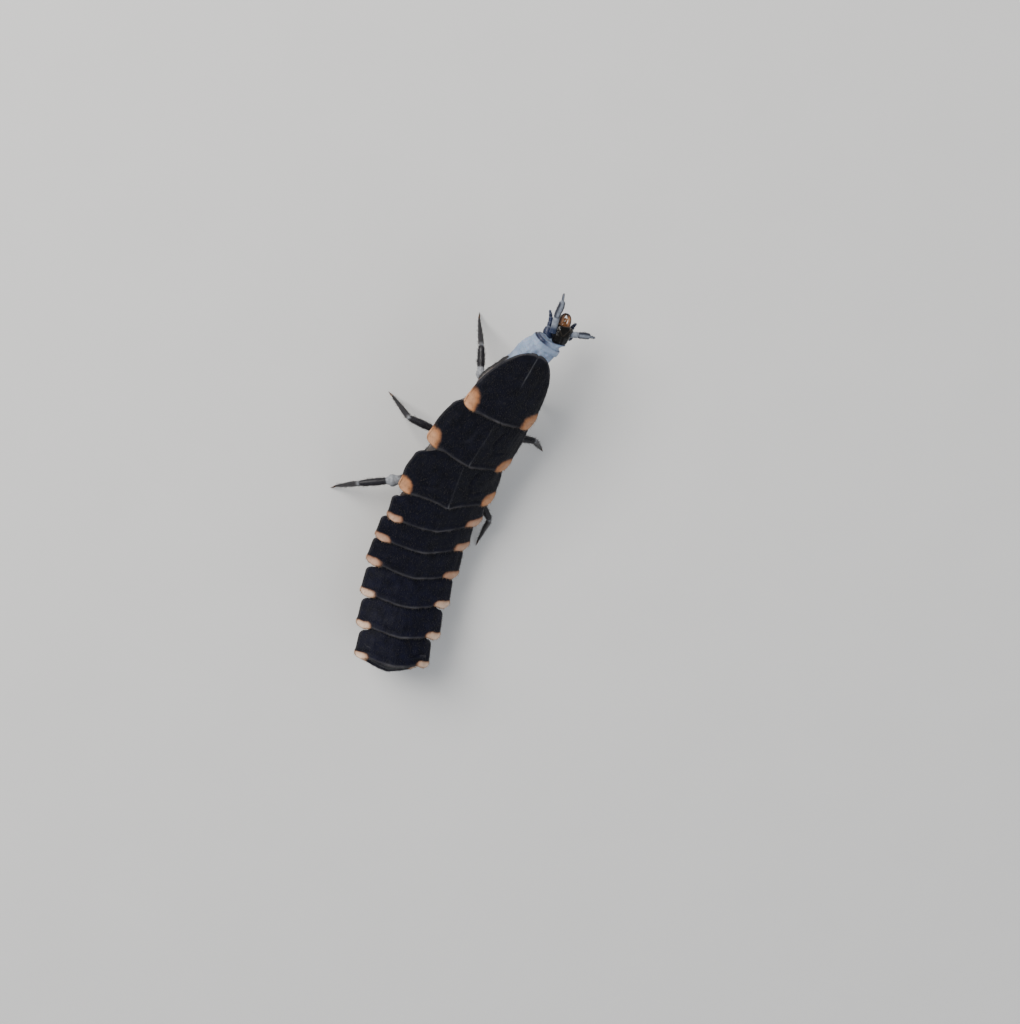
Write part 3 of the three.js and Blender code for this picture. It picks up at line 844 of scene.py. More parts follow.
def plate_bristles(k):
    """Short hairs that lie back over the plate, and longer ones along its free edges."""
    draw = np.random.default_rng(100 + k)
    many = int(HAIRS_PER_MM2 * LENGTH[k] * 2 * HALF[k])
    few = int(EDGE_HAIRS_PER_MM * (LENGTH[k] + HALF[k]))
    u = np.concatenate([draw.uniform(-0.985, 0.985, many), draw.uniform(-0.98, 0.98, few),
                        np.sign(draw.uniform(-1, 1, few)) * 0.995])
    v = np.concatenate([draw.uniform(0.12, 0.99, many), np.full(few, 0.995), draw.uniform(0.15, 0.99, few)])
    x, y = plate_xy(k, u, v)
    z = plate_height(k, x, y, v, fine=False)
    lean = draw.normal(0, 0.25, len(u))
    out = np.where(np.abs(u) > 0.99, np.sign(u) * 0.9, 0.0)
    heads = np.stack([lean + out, 0.85 + 0 * u, 0.42 + draw.normal(0, 0.12, len(u))], 1)
    lengths = draw.uniform(0.07, 0.15, len(u)) * np.where(np.arange(len(u)) < many, 1, 1.3)
    roots = on_plate(k, np.stack([x, y, z], 1))
    uv = np.stack([0.5 + 0.48 * u, (k + 0.05 + 0.9 * v) / COUNT], 1)
    spot = spot_marks(k, x, y)
    bristles(f"hairs_{NAMES[k]}", roots, heads @ SPINS[k].T, lengths, 0.0075, uv,
             smooth(0.46, 0.56, spot))


for index in range(COUNT):
    back_plate(index)
    plate_bristles(index)


# The skin, from the back of the head to the tail in one piece

SIDES = 128
RING_STEP = 0.075
NECK_STEPS = 6


def neck_rings():
    """Guide rings of the neck, from the back of the head over its folded rim to the first segment."""
    deep = NECK_DEPTH - FLESH_TOP

    def placed(half, depth, shift, start, spin):
        return start + (ring(half, depth, SIDES) + shift) @ spin.T

    def head_at(y, share):
        return placed(share * HEAD_HALF, share * HEAD_DEPTH, [0, y, 0], HEAD_REAR, HEAD_SPIN)

    def rim_at(y, share):
        return placed(share * RIM_HALF + 0.06, share * RIM_DEPTH, [0.07, y, 0], NECK_RIM,
                      rotation(*RIM_ANGLES))

    def inner_at(x, y, half, depth):
        return placed(half, depth, [x, y, -FLESH_TOP - NECK_DEPTH / 2], FRONTS[0], SPINS[0])

    return np.array([
        head_at(-0.14, 0.55),
        head_at(0.00, 0.66),
        lerp(head_at(0.02, 0.80), rim_at(-0.16, 0.62), 0.5),
        rim_at(-0.14, 0.78),
        rim_at(-0.05, 0.87),
        rim_at(0.04, 0.885),
        rim_at(0.00, 0.97),
        rim_at(0.07, 1.01),
        rim_at(0.3, 1.03),
        lerp(rim_at(0.6, 1.06), inner_at(-0.28, -0.35, 0.98, 0.8 * deep), 0.5),
        inner_at(-0.26, 0, 1.0, 0.92 * deep),
        inner_at(-0.15, 0.35, 1.02 * NECK_HALF, deep),
    ])


def skin():
    theta = turns(SIDES)
    low = np.degrees(np.arctan2(np.sin(theta), np.abs(np.cos(theta))))
    neck = spline(neck_rings(), NECK_STEPS)
    rings, marks = [], []
    for i, points in enumerate(neck):
        # the number of the guide ring that has been reached
        part = i / NECK_STEPS
        out = unit(points - points.mean(0))
        crease = 0.020 * waves(theta, np.full(SIDES, 0.7 * part), 0.5, 60)
        crease = crease + 0.014 * np.sin(19 * theta + 1.5 * np.sin(3 * theta) + 0.5 * part)
        crease = crease * smooth(6.8, 9.5, part) + 0.006 * waves(theta, np.full(SIDES, 0.3 * part), 0.16, 61)
        points = points + out * crease[:, None]
        # Painted shade: a dark navy band in the fold of the rim, strongest toward the animal's left, and the
        # neck darkened where it runs under the head
        groove = smooth(2.5, 3.2, part) * smooth(7.1, 6.2, part)
        facing = 0.15 + 0.85 * smooth(0.0, 0.85, np.cos(theta - 0.2))
        shade = np.clip(1.25 * groove * facing + 0.9 * smooth(1.6, 0.8, part), 0, 1)
        rings.append(points)
        marks.append(np.stack([np.ones(SIDES), shade, 0 * theta], 1))
    for k in range(COUNT):
        steps = round(LENGTH[k] / RING_STEP)
        for t in (np.arange(steps) + 0.5) / steps:
            if k == 0 and t < 0.12:
                continue
            points, _ = skin_at(k, t, theta)
            share = abs(2 * t - 1)
            pale = bell(low + 26, 17) * (0.55 + 0.35 * share ** 2) + 0.25 * smooth(-50, -90, low) * share ** 4
            neckness = np.full(SIDES, smooth(0.34, 0.10, t) if k == 0 else 0.0)
            rings.append(points)
            marks.append(np.stack([neckness, 0 * theta, np.clip(pale, 0, 1)], 1))
    # the rounded end
    last = rings[-1]
    middle = last.mean(0)
    for out, shrink in ((0.07, 0.93), (0.13, 0.78), (0.16, 0.5), (0.17, 0.2)):
        rings.append(middle + shrink * (last - middle) + SPINS[-1] @ [0, out, 0])
        marks.append(marks[-1])
    points = np.concatenate(rings)
    make("skin", points, tube_faces(len(rings), SIDES), skin_finish, ["neck", *NAMES],
         np.concatenate(marks))


skin()


def skin_hairs():
    """Fine hairs, sparse on the soft sides."""
    many = 10
    draw = np.random.default_rng(7)
    roots, heads, places = [], [], []
    for k in range(COUNT):
        for t in np.linspace(0.08, 0.92, round(5 * LENGTH[k])):
            below = draw.uniform(-75, 0, many)
            turned = np.where(draw.uniform(0, 1, many) < 0.5, below, 180 - below)
            points, out = skin_at(k, t, np.radians(turned))
            roots.append(points)
            heads.append(out + SPINS[k] @ [0, 0.7, 0] + draw.normal(0, 0.25, (many, 3)))
            places.append(np.stack([0.5 + 0.48 * turned / 270, np.full(many, (k + t) / COUNT)], 1))
    roots = np.concatenate(roots)
    bristles("hairs_skin", roots, np.concatenate(heads), draw.uniform(0.06, 0.16, len(roots)),
             0.006, np.concatenate(places), 0.25)


skin_hairs()


# Hard plates on the belly and sides

# On each side of every segment: angle and half angle round the body, place and half length as parts of
# the segment's length, lift, squareness, seed and stain. The thorax has an angle for each segment
ABDOMEN_SIDES = [(-4, 11, 0.45, 0.30, 0.07, 2.4, 220, 0.1), (-37, 9, 0.5, 0.30, 0.06, 2.4, 240, 0.0),
                 (14, 5, 0.25, 0.10, 0.05, 2.0, 260, 0.3)]
THORAX_SIDES = [((-26, -12, -12), 11, 0.36, 0.17, 0.06, 2.6, 280, 0.0),
                ((-32, -32, -32), 9, 0.64, 0.15, 0.06, 2.2, 300, 0.0),
                ((-56, -42, -42), 7, 0.28, 0.12, 0.05, 2.2, 310, 0.0)]
# The angle of the belly's middle, and the light organs' segment and degrees to each side of it
BELOW = 270
LAMP_SEGMENT, LAMP_ASIDE = 10, 38
PATCH_HAIRS = []


def mirrored(angle, side):
    """An angle round the body from the left, or from the right where side is -1."""
    return angle if side > 0 else 180 - angle


def skin_patch(parts, k, theta, theta_half, t, t_half, lift, square, seed, stain=0.0):
    """A raised plate that follows the skin, with a rounded outline around (t, theta) of segment k."""
    rows, columns = 26, 30
    top, bottom, marks = [], [], []
    seed += k
    draw = np.random.default_rng(seed)
    bend = draw.uniform(-0.18, 0.18, 3)
    for v in np.linspace(-0.995, 0.995, rows + 1):
        u = np.linspace(-1, 1, columns + 1)
        wide = (1 - abs(v) ** square) ** (1 / square)
        wide = wide * (1 + bend[0] * v + bend[1] * np.sin(3 * v) * u + 0.5 * bend[2] * np.cos(5 * v) * u)
        skin_points, out = skin_at(k, t + t_half * v, np.radians(theta + theta_half * wide * u))
        edge = np.maximum(np.abs(u), abs(v) / 0.995)
        crown = lift * (1 - edge ** 6)
        grain = 0.012 * granules(u * theta_half * 0.04, v * t_half * LENGTH[k] + 0 * u, 0.07, seed)
        top.append(skin_points + out * (crown + grain * (1 - edge ** 8))[:, None])
        bottom.append(skin_points - out * 0.05)
        if draw.uniform() < 0.6 and abs(v) < 0.9:
            j = draw.integers(3, columns - 3)
            heads = out[j] + SPINS[k] @ [0, 0.9, 0] + draw.normal(0, 0.2, 3)
            at = [(theta + theta_half * wide[j] * u[j]) % 360 / 360, (k + t + t_half * v) / COUNT]
            PATCH_HAIRS.append((top[-1][j], heads, draw.uniform(0.12, 0.26), at))
        marks.append(np.stack([0 * u, 0.5 * smooth(0.88, 0.99, edge), stain + 0 * u], 1))
    under = (rows + 1) * (columns + 1)
    loop = grid_loop(rows, columns)
    grid = grid_faces(rows, columns)
    faces = grid + [[i + under for i in face[::-1]] for face in grid]
    faces += loop_faces(loop, [i + under for i in loop])
    parts.add(np.concatenate(top + bottom), faces, np.concatenate(marks + marks))


def small_plates():
    belly, flanks, lamps = Parts(), Parts(), Parts()
    for k in range(THORAX, COUNT - 1):
        skin_patch(belly, k, BELOW, 36 if k < LAMP_SEGMENT else 24, 0.5, 0.36, 0.09, 4.0, 200)
        for side in (1, -1):
            for angle, *plate in ABDOMEN_SIDES:
                skin_patch(flanks, k, mirrored(angle, side), *plate)
    for k in range(THORAX):
        for side in (1, -1):
            for angles, *plate in THORAX_SIDES:
                skin_patch(flanks, k, mirrored(angles[k], side), *plate)
        skin_patch(belly, k, BELOW, 12, 0.35, 0.14, 0.06, 2.2, 320)
    for side in (-1, 1):
        skin_patch(lamps, LAMP_SEGMENT, BELOW + side * LAMP_ASIDE, 13, 0.5, 0.3, 0.08, 2.2, 330)
    roots, heads, lengths, places = [np.array(column) for column in zip(*PATCH_HAIRS)]
    bristles("hairs_small_plates", roots, heads, lengths, 0.008, places)
    belly.piece("belly_plates", sclerite, "back_plate")
    flanks.piece("side_plates", sclerite, "back_plate")
    lamps.piece("light_organs", glow_finish, "holdfast")


small_plates()


# Legs: the hip's root, the hip, the knee and the foot's place on the floor, as in the solids

LEGS = {
    "front_left": ([0.9, -6.6, 3.7], [2.05, -6.7, 3.0], [2.55, -8.1, 2.3], [2.75, -9.1, 0]),
    "middle_left": ([1.4, -2.9, 3.3], [2.8, -2.7, 2.6], [4.5, -2.75, 2.4], [5.4, -3.0, 0]),
    "hind_left": ([1.7, -0.3, 2.8], [3.65, 1.0, 2.27], [5.35, 2.0, 2.0], [6.1, 3.4, 0]),
    "front_right": ([-0.5, -6.8, 3.3], [-1.1, -6.9, 2.5], [-2.1, -6.5, 1.8], [-2.7, -5.7, 0]),
    "middle_right": ([-0.5, -3.4, 3.0], [-1.2, -3.7, 2.1], [-2.9, -4.0, 1.9], [-4.2, -3.1, 0]),
    "hind_right": ([-0.5, -0.1, 2.6], [-1.2, 0.2, 1.7], [-2.7, 1.4, 1.6], [-3.2, 3.6, 0]),
}
# Along each length of a leg: part of the length, radius, and how soft and pale it is
HIP = [(0, 0.40, 0.6), (0.2, 0.44, 0.5), (0.28, 0.43, 0), (0.6, 0.36, 0), (0.80, 0.28, 0), (0.88, 0.24, 0.5),
       (0.94, 0.22, 0.8), (1, 0.23, 0.8)]
THIGH = [(0, 0.23, 0.8), (0.06, 0.24, 0.7), (0.12, 0.22, 0.6), (0.155, 0.17, 0.6), (0.18, 0.17, 0.2),
         (0.24, 0.19, 0), (0.5, 0.215, 0), (0.8, 0.19, 0), (0.94, 0.16, 0), (0.985, 0.14, 0.2),
         (1, 0.11, 0.5)]
SHIN = [(0, 0.11, 0.7), (0.03, 0.14, 0.3), (0.09, 0.155, 0), (0.35, 0.15, 0), (0.75, 0.085, 0),
        (0.95, 0.06, 0), (1, 0.045, 0)]
CLAW_LONG = 0.36
LEG_SIDES = 28
LEG_STEPS = 34
LEG_HAIRS = 620
# How far the soft joint behind the hip swells
SWELLING = {"front": 0.03, "middle": 0.0, "hind": 0.11}


def claw_path(ankle, foot):
    """A hooked claw from the ankle down to the floor."""
    ahead = unit((foot - ankle) * [1, 1, 0])
    tip = foot + ahead * 0.12 + [0, 0, 0.012]
    return spline([ankle, ankle + 0.35 * (foot - ankle) + ahead * 0.10, tip], 8)


def leg(name):
    root, hip, knee, foot = [np.array(place) + UNDER_MIDDLE for place in LEGS[name]]
    ankle = foot + unit(knee - foot) * CLAW_LONG
    parts = Parts()
    lengths = []
    for start, end, profile in ((root, hip, HIP), (hip, knee, THIGH), (knee, ankle, SHIN)):
        at = np.linspace(0, 1, LEG_STEPS)[: None if profile is SHIN else -1]
        lengths.append((start + at[:, None] * (end - start), *profile_at(at, profile)))
    path, radii, soft = [np.concatenate(column) for column in zip(*lengths)]
    swelling = SWELLING[name.split("_")[0]]
    from_hip = np.linalg.norm(path - hip - unit(knee - hip) * 0.08, axis=1)
    radii = radii + swelling * np.exp(-(from_hip / 0.28) ** 4)
    soft = np.maximum(soft, smooth(0.42, 0.32, from_hip) * (swelling > 0))
    radii = radii + 0.014 * soft * np.sin(2 * pi * from_hip / 0.085)
    bent = path.copy()
    bent[1:-1] = (path[:-2] + 2 * path[1:-1] + path[2:]) / 4
    marks = np.stack([soft, 0.6 * (1 - soft) * smooth(0.3, 0.0, np.abs(soft - 0.4)), 0 * soft], 1)
    seed = 400 + list(LEGS).index(name)
    grid = parts.tube(bent, radii, marks, sides=LEG_SIDES, flat=0.88, relief=0.012, seed=seed)
    parts.piece(f"limb_{name}", leg_shell, "leg", [f"leg_{name}"])
    claw = Parts()
    claw.tube(claw_path(ankle, foot), 0.055 * (1 - np.linspace(0, 1, 17) ** 1.6) + 0.010, sides=12)
    claw.piece(f"claw_{name}", claw_finish, "leg")
    # stiff hairs, most on the thigh and the shin
    draw = np.random.default_rng(seed)
    i = draw.integers(20, len(path) - 3, LEG_HAIRS)
    j = draw.integers(0, LEG_SIDES, LEG_HAIRS)
    kept = soft[i] < 0.3
    i, j = i[kept], j[kept]
    outward = unit(grid[i, j] - bent[i])
    heads = unit(outward * 0.75 + unit(np.gradient(bent, axis=0))[i] + draw.normal(0, 0.12, (len(i), 3)))
    long = draw.uniform(0.10, 0.24, len(i)) * np.where(i > 2 * LEG_STEPS, 0.9, 1.0)
    roots = grid[i, j] - 0.012 * outward
    low = (roots + heads * long[:, None])[:, 2] < 0.01
    heads[low, 2] = np.abs(heads[low, 2])
    uv = np.stack([0.02 + 0.9 * j / LEG_SIDES, i / len(path)], 1)
    bristles(f"limb_hairs_{name}", roots, heads, long, 0.0095, uv)


for name in LEGS:
    leg(name)


# Head, in a frame at the middle of its back with the mouth toward -Y

CAPSULE_HALF = 0.50
# Part of the length, half width and height of the head's shell
CAPSULE = [(0, 0.60, 0.56), (0.05, 0.72, 0.70), (0.14, 0.85, 0.83), (0.4, 1.0, 1.0), (0.7, 0.99, 0.97),
           (0.88, 0.88, 0.82), (0.97, 0.74, 0.62), (1.0, 0.55, 0.40)]
SIDE_NAMES = ((1, "left"), (-1, "right"))


def in_head(*local):
    return HEAD_REAR + np.array(local) @ HEAD_SPIN.T


def head_curve(side, *places):
    """Places in the head's frame, mirrored where side is -1."""
    return np.array([in_head(side * x, y, z) for x, y, z in places])


def head():
    rings, sides = 56, 72
    theta = turns(sides)
    all_points, all_marks = [], []
    for part in np.linspace(0, 1, rings):
        wide, deep = profile_at(part, CAPSULE)
        local = ring(wide * CAPSULE_HALF, deep * HEAD_DEPTH, sides, 0.84)
        x, z = local[:, 0], local[:, 2]
        upper = smooth(0.0, 0.12, z)
        y = -part * HEAD_LENGTH
        furrow = bell(x, 0.035) * smooth(0.65, 0.50, part) * upper
        arms = bell(np.abs(x) - 0.9 * np.clip(part - 0.42, 0, 1), 0.03) * (part > 0.42) * upper
        cheeks = bell(part - 0.72, 0.12) * bell(np.abs(x) - 0.44, 0.12)
        grow = -0.03 * furrow - 0.022 * arms + 0.03 * cheeks
        grow = grow + 0.010 * granules(x + 5 * np.sign(z), np.full(sides, y), 0.06, 9)
        out = np.stack([np.cos(theta), 0 * theta, np.sin(theta)], 1)
        mouth = 0.05 * bell(x, 0.2) * smooth(0.85, 1.0, part)
        points = local + out * grow[:, None]
        points[:, 1] = y + mouth
        all_points.append(HEAD_REAR + points @ HEAD_SPIN.T)
        front = smooth(0.90, 1.0, part) * np.ones(sides)
        all_marks.append(np.stack([0 * theta, 0.25 * arms * upper, 0.8 * front], 1))
    parts = Parts()
    parts.add(np.concatenate(all_points), tube_faces(rings, sides), np.concatenate(all_marks))
    # the upper lip between the jaws
    lip = head_curve(1, (0, 0.10 - HEAD_LENGTH, 0.10), (0, -0.02 - HEAD_LENGTH, 0.08),
                     (0, -0.12 - HEAD_LENGTH, 0.03))
    parts.tube(*tapered(lip, 6, [0, 0.6, 1], [0.17, 0.15, 0.05]), (0, 0.2, 0.7), sides=24, flat=0.5,
               relief=0.008, seed=5)
    parts.piece("head_capsule", head_shell, "head_shell", ["head"])


head()


EYE_RADIUS = 0.15
EYE_RISE = 0.115
EYE_RIM = 0.165


def eyes():
    for side, name in SIDE_NAMES:
        centre = np.array([side * (CAPSULE_HALF + 0.01), -0.72 * HEAD_LENGTH, 0.04])
        parts = Parts()
        polar = np.linspace(0.06, pi - 0.06, 28)
        spine = in_head(*centre) + np.outer(np.cos(polar), HEAD_SPIN @ [side, -0.25, 0.15]) * EYE_RISE
        parts.tube(spine, EYE_RADIUS * np.sin(polar), sides=32)
        parts.piece(f"lens_{name}", eye_finish, "eye", [f"eye_{name}"])
        rim = Parts()
        angle = np.linspace(0, 2 * pi, 40)
        about = in_head(*(centre - [side * 0.03, 0, 0]))
        circle = about + EYE_RIM * (np.outer(np.cos(angle), HEAD_SPIN @ [0, 1, 0])
                                    + np.outer(np.sin(angle), HEAD_SPIN @ [0, 0, 1]))
        rim.tube(circle, np.full(len(angle), 0.028), (0, 0.2, 0), sides=10)
        rim.piece(f"lens_rim_{name}", head_shell, "head_shell")


eyes()

# The feelers' joints, as in the solids, and along them: part, radius, softness and stain
FEELERS = {
    "left": [[-0.12, -11.0, 4.25], [0.05, -11.75, 4.25], [0.06, -12.3, 4.22], [0.24, -13.0, 4.2]],
    "right": [[-1.2, -11.0, 4.1], [-1.7, -11.15, 4.1], [-2.1, -11.25, 4.05], [-2.6, -11.3, 4.0]],
}
FEELER = [(0, 0.21, 0.9), (0.10, 0.18, 0.9), (0.25, 0.170, 0.9), (0.34, 0.180, 0.75), (0.37, 0.145, 0.9),
          (0.40, 0.17, 0.1), (0.6, 0.190, 0), (0.76, 0.17, 0), (0.79, 0.13, 0.8), (0.82, 0.06, 0.8),
          (0.85, 0.07, 0.1), (0.96, 0.06, 0), (1, 0.02, 0)]


def jointed(parts, places, profile, sides=24, steps=24, seed=0, stripe=0.0, stained=-1.0):
    """A limb of several joints along a curve. stripe is how pale the line along its top is, and stained
    the part of the limb at its root that takes the material's stain."""
    path = spline(places, steps)
    part = run_along(path)
    part = part / part[-1]
    radii, soft = profile_at(part, profile)
    soft = soft[:, None] * np.ones(sides)
    top = stripe * smooth(0.80, 0.96, np.sin(turns(sides))) * (soft < 0.5)
    soft = np.maximum(soft, top * smooth(0.37, 0.44, part)[:, None])
    stain = smooth(stained, stained - 0.16, part)[:, None] * np.ones(sides)
    marks = np.stack([soft, 0 * soft, stain], 2)
    return path, parts.tube(path, radii, marks, sides=sides, flat=0.92, relief=0.006, seed=seed)


def limb_hairs(name, path, grid, many, low, high, seed):
    """Fine hairs on a tube between two parts of its length."""
    draw = np.random.default_rng(seed)
    i = draw.integers(int(low * len(path)), int(high * len(path)), many)
    j = draw.integers(0, grid.shape[1], many)
    outward = unit(grid[i, j] - path[i])
    heads = unit(outward * 0.8 + unit(np.gradient(path, axis=0))[i] * 0.8 + draw.normal(0, 0.1, (many, 3)))
    uv = np.stack([0.02 + 0.9 * j / grid.shape[1], i / len(path)], 1)
    bristles(name, grid[i, j] - 0.008 * outward, heads, draw.uniform(0.05, 0.12, many), 0.006, uv)


def feelers():
    for side, name in SIDE_NAMES:
        parts = Parts()
        places = np.array(FEELERS[name]) + UNDER_MIDDLE
        root = unit(places[0] - places[1]) * 0.25 + places[0]
        path, grid = jointed(parts, [root, *places], FEELER, seed=30 + side, stripe=0.8, stained=0.24)
        # the short sense cone beside the last joint
        near = path[int(0.80 * len(path))]
        ahead = unit(path[int(0.86 * len(path))] - near)
        aside = unit(np.cross(ahead, [0, 0, 1])) * side
        cone = near + np.outer(np.linspace(0, 0.2, 9), ahead) + aside * 0.06
        parts.tube(cone, np.linspace(0.045, 0.012, 9), (0.6, 0, 0), sides=12)
        parts.piece(f"feeler_{name}", feeler_shell, "feeler", [f"antenna_{name}"])
        limb_hairs(f"feeler_hairs_{name}", path, grid, 160, 0.4, 0.97, 50 + side)


feelers()


# Along a jaw and its blunt inner tooth: place to the side, before the head's front and above the middle,
# and how much higher it is on the left
JAW = [(0.17, 0.14, 0.0, 0), (0.20, -0.02, -0.02, 0), (0.21, -0.20, -0.03, 0), (0.18, -0.38, -0.05, -0.02),
       (0.06, -0.52, -0.07, -0.04), (-0.09, -0.56, -0.08, -0.06)]
TOOTH = [(0.13, -0.16, -0.04, -0.02), (0.05, -0.24, -0.05, -0.03), (0.0, -0.33, -0.06, -0.04)]
JAW_RADII = [(0, 0.15), (0.15, 0.17), (0.4, 0.145), (0.7, 0.10), (0.9, 0.055), (1, 0.008)]
JAWS_TO_RIGHT = 0.03


def jaw_curve(side, places, steps):
    return spline([in_head(side * x - JAWS_TO_RIGHT, y - HEAD_LENGTH, z + side * tilt)
                   for x, y, z, tilt in places], steps)


def jaws():
    for side, name in SIDE_NAMES:
        path = jaw_curve(side, JAW, 12)
        part = np.linspace(0, 1, len(path))
        points = tube_points(path, *profile_at(part, JAW_RADII), 28, 0.72)
        between = in_head(-JAWS_TO_RIGHT, -HEAD_LENGTH - 0.10, 0)
        outer = (unit(points - path[:, None]) * unit(path - between)[:, None]).sum(-1)
        tip = smooth(0.62, 0.85, part)[:, None] + 0 * outer
        marks = np.stack([0.9 * smooth(0.0, 0.55, outer), tip, 0 * outer], -1)
        parts = Parts()
        parts.add(points.reshape(-1, 3), tube_faces(*points.shape[:2]), marks.reshape(-1, 3))
        parts.tube(jaw_curve(side, TOOTH, 6), np.linspace(0.10, 0.03, 13), (0, 0.2, 0), sides=16, flat=0.7)
        parts.piece(f"jaw_{name}", jaw_finish, "jaw", [f"mandible_{name}"])


jaws()

# Along a palp of the jaw's side and one of the lip: part, radius and softness
PALP = [(0, 0.20, 0.2), (0.12, 0.27, 0), (0.28, 0.26, 0), (0.40, 0.20, 0.1), (0.44, 0.13, 0.6),
        (0.47, 0.14, 0), (0.58, 0.14, 0), (0.60, 0.11, 0.5), (0.62, 0.12, 0), (0.74, 0.12, 0),
        (0.76, 0.09, 0.5), (0.78, 0.10, 0), (0.88, 0.085, 0), (0.90, 0.065, 0.5), (0.92, 0.07, 0),
        (0.985, 0.05, 0.3), (1, 0.02, 0.5)]
LIP_PALP = [(0, 0.10, 0), (0.4, 0.10, 0), (0.45, 0.07, 1), (0.5, 0.08, 0), (0.75, 0.07, 0), (0.78, 0.05, 1),
            (0.82, 0.06, 0), (1, 0.02, 0.5)]


def under_mouth():
    for side, name in SIDE_NAMES:
        parts = Parts()
        # the left palp reaches from the neck's rim far ahead and the right one is drawn in
        reach, root = (1.0, -0.06) if side > 0 else (0.78, -0.34)
        places = head_curve(side, (0.50, root, -0.43), (0.63, root - 0.40 * reach, -0.46),
                            (0.62, -1.05 * reach, -0.50), (0.70, -1.38 * reach, -0.52),
                            (0.84, -1.66 * reach, -0.50))
        path, grid = jointed(parts, places, PALP, seed=70 + side)
        inner = head_curve(side, (0.30, -0.9, -0.56), (0.26, -1.2, -0.52), (0.22, -1.38, -0.46))
        jointed(parts, inner, LIP_PALP, 16, 12, seed=72 + side)
        parts.piece(f"palp_{name}", palp_shell, "palp", [f"maxilla_{name}"])
        limb_hairs(f"palp_hairs_{name}", path, grid, 110, 0.1, 0.95, 80 + side)
    parts = Parts()
    base = head_curve(1, (0, -0.45, -0.58), (0, -0.8, -0.64), (0, -1.08, -0.64))
    jointed(parts, base, [(0, 0.14, 0), (0.5, 0.15, 0), (0.9, 0.12, 0.1), (1, 0.06, 1)], seed=75)
    for side in (1, -1):
        palp = head_curve(side, (0.06, -1.0, -0.64), (0.11, -1.15, -0.63), (0.14, -1.32, -0.6))
        jointed(parts, palp, LIP_PALP, 14, 10, seed=76)
    parts.piece("under_lip", palp_shell, "palp", ["labium"])


under_mouth()


# The holdfast under the tail: a soft stalk and forked fingers spread over the floor

FINGERS = 10
FINGER_REACH = 1.05


def holdfast():
    middle = FRONTS[-1] + SPINS[-1] @ [0, 0, -(FLESH_TOP + DEPTH[-1]) / 2]
    centre = middle * [1, 1, 0]
    draw = np.random.default_rng(77)
    parts = Parts()
    stalk = np.array([centre + [0, 0, z] for z in (0.0, 0.06, 0.2, 0.4, 0.6)] + [middle + [0, 0, 0.1]])
    # off the upright by a hair, or its first direction would have no side
    stalk[0, 1] += 0.001
    parts.tube(*tapered(stalk, 8, [0, 0.06, 0.2, 0.5, 1], [0.30, 0.38, 0.42, 0.40, 0.34]),
               sides=36, relief=0.03, seed=5, up=(0, 1, 0))
    for i in range(FINGERS):
        angle = 2 * pi * (i + 0.5) / FINGERS + draw.normal(0, 0.07)
        out = np.array([np.sin(angle), np.cos(angle), 0])
        aside = np.array([out[1], -out[0], 0])
        reach = FINGER_REACH * draw.uniform(0.85, 1.0)
        rise = draw.uniform(0.20, 0.34)
        fork = centre + out * 0.62 * reach + [0, 0, rise * 0.9]
        stem = [centre + out * 0.12 + [0, 0, 0.28], centre + out * 0.35 * reach + [0, 0, rise + 0.08], fork]
        parts.tube(*tapered(stem, 8, [0, 0.5, 1], [0.16, 0.14, 0.11]), sides=16, relief=0.012, seed=90 + i)
        for spread in (-1, 1):
            end = centre + out * reach + aside * spread * draw.uniform(0.10, 0.16) + [0, 0, 0.045]
            bend = lerp(fork, end, 0.55) + aside * spread * 0.03 + [0, 0, 0.05]
            twig = [fork - out * 0.05, bend, end]
            parts.tube(*tapered(twig, 8, [0, 0.6, 0.9, 1], [0.10, 0.085, 0.06, 0.02]), sides=14,
                       relief=0.008, seed=110 + i)
    parts.piece("holdfast", holdfast_finish, "holdfast", ["pygopod"])


holdfast()


# Floor, light and camera

def area_light(name, place, size, power, colour=(1, 1, 1)):
    data = bpy.data.lights.new(name, "AREA")
    data.size = size
    data.energy = power
    data.color = colour
    light = bpy.data.objects.new(name, data)
    light.location = place
    light.rotation_mode = "QUATERNION"
    light.rotation_quaternion = (-Vector(place)).to_track_quat("-Z", "Y")
    bpy.context.collection.objects.link(light)


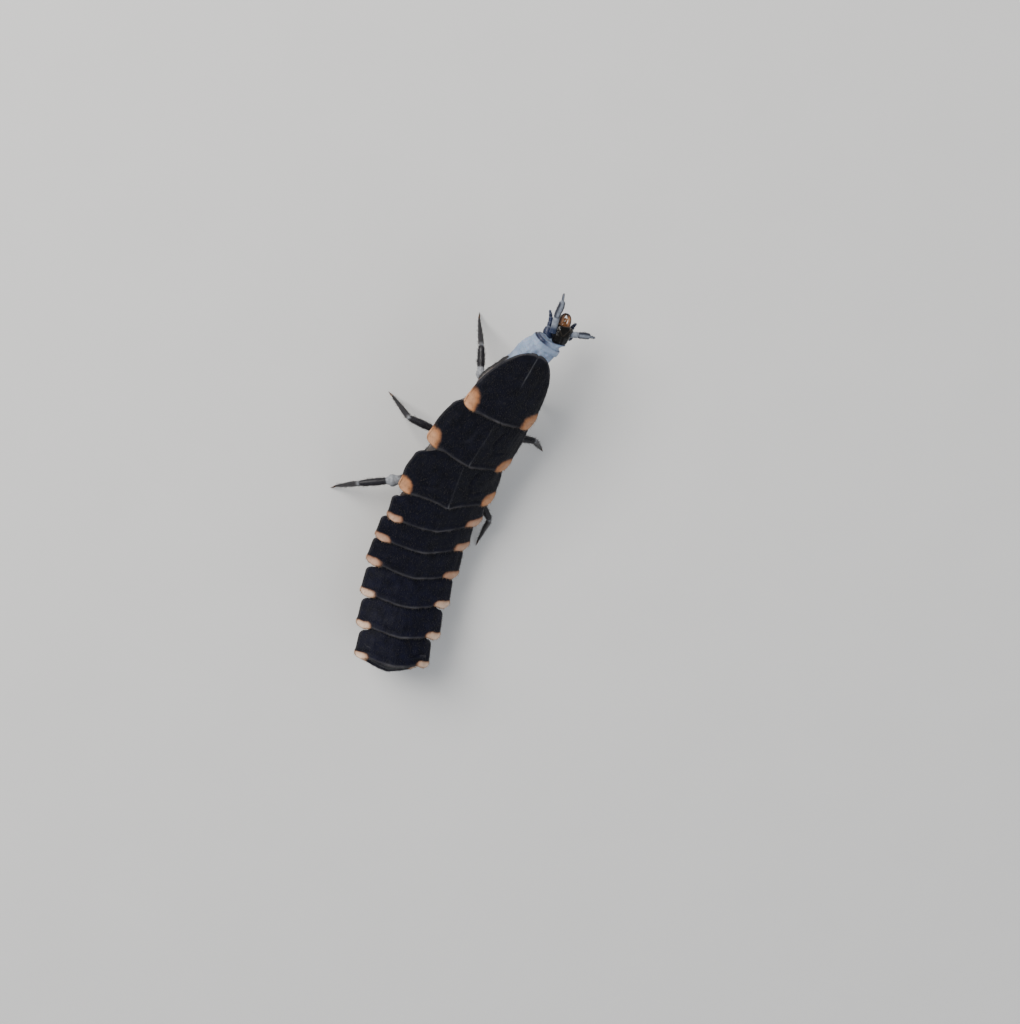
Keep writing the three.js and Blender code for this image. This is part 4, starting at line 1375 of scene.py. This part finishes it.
def floor():
    mesh = bpy.data.meshes.new("floor")
    far = 3.0
    mesh.from_pydata([(-far, -far, 0), (far, -far, 0), (far, far, 0), (-far, far, 0)], [], [(0, 1, 2, 3)])
    m = material("floor", 0.8)
    colour = m.mottled(6, (0.88, 0.865, 0.84), (0.90, 0.885, 0.86), detail=4, rough=0.55)
    mesh.materials.append(m.finish(colour))
    made = bpy.data.objects.new("floor", mesh)
    bpy.context.collection.objects.link(made)


floor()
area_light("key", (0.20, -0.10, 0.17), 0.14, 0.90, (1.0, 0.98, 0.95))
area_light("fill", (-0.22, 0.10, 0.16), 0.25, 0.14, (0.90, 0.95, 1.0))
world = bpy.data.worlds.new("studio")
world.use_nodes = True
world.node_tree.nodes["Background"].inputs["Color"].default_value = (0.90, 0.94, 1.0, 1)
world.node_tree.nodes["Background"].inputs["Strength"].default_value = 0.45
bpy.context.scene.world = world

# The photo's view: seen from the left and from ahead of straight above, with the image turned, and with
# the place SEEN_MM of the animal at the pixel SEEN_PX
FOCAL_PX = 2500
WIDE_PX, HIGH_PX = 1020, 1024
DISTANCE = 140
FROM_LEFT, FROM_AHEAD, IMAGE_TURN = np.radians([20, 18, 26])
SEEN_PX = (462, 492)
SEEN_MM = np.array([0, 0, 3.0]) + UNDER_MIDDLE
toward = unit(np.array([np.tan(FROM_LEFT), -np.tan(FROM_AHEAD), 1]))
image_up = np.array([np.sin(IMAGE_TURN), -np.cos(IMAGE_TURN), 0])
image_up = unit(image_up - toward * (image_up @ toward))
image_right = np.cross(image_up, toward)
per_px = DISTANCE / FOCAL_PX
eye_place = (SEEN_MM + DISTANCE * toward - image_right * (SEEN_PX[0] - WIDE_PX / 2) * per_px
             + image_up * (SEEN_PX[1] - HIGH_PX / 2) * per_px)
data = bpy.data.cameras.new("camera")
data.sensor_fit = "HORIZONTAL"
data.lens = data.sensor_width * FOCAL_PX / WIDE_PX
data.clip_start = 0.01
data.clip_end = 10
camera = bpy.data.objects.new("camera", data)
bpy.context.collection.objects.link(camera)
basis = Matrix((image_right, image_up, toward)).transposed().to_4x4()
camera.matrix_world = Matrix.Translation(Vector(eye_place * MM)) @ basis
bpy.context.scene.camera = camera
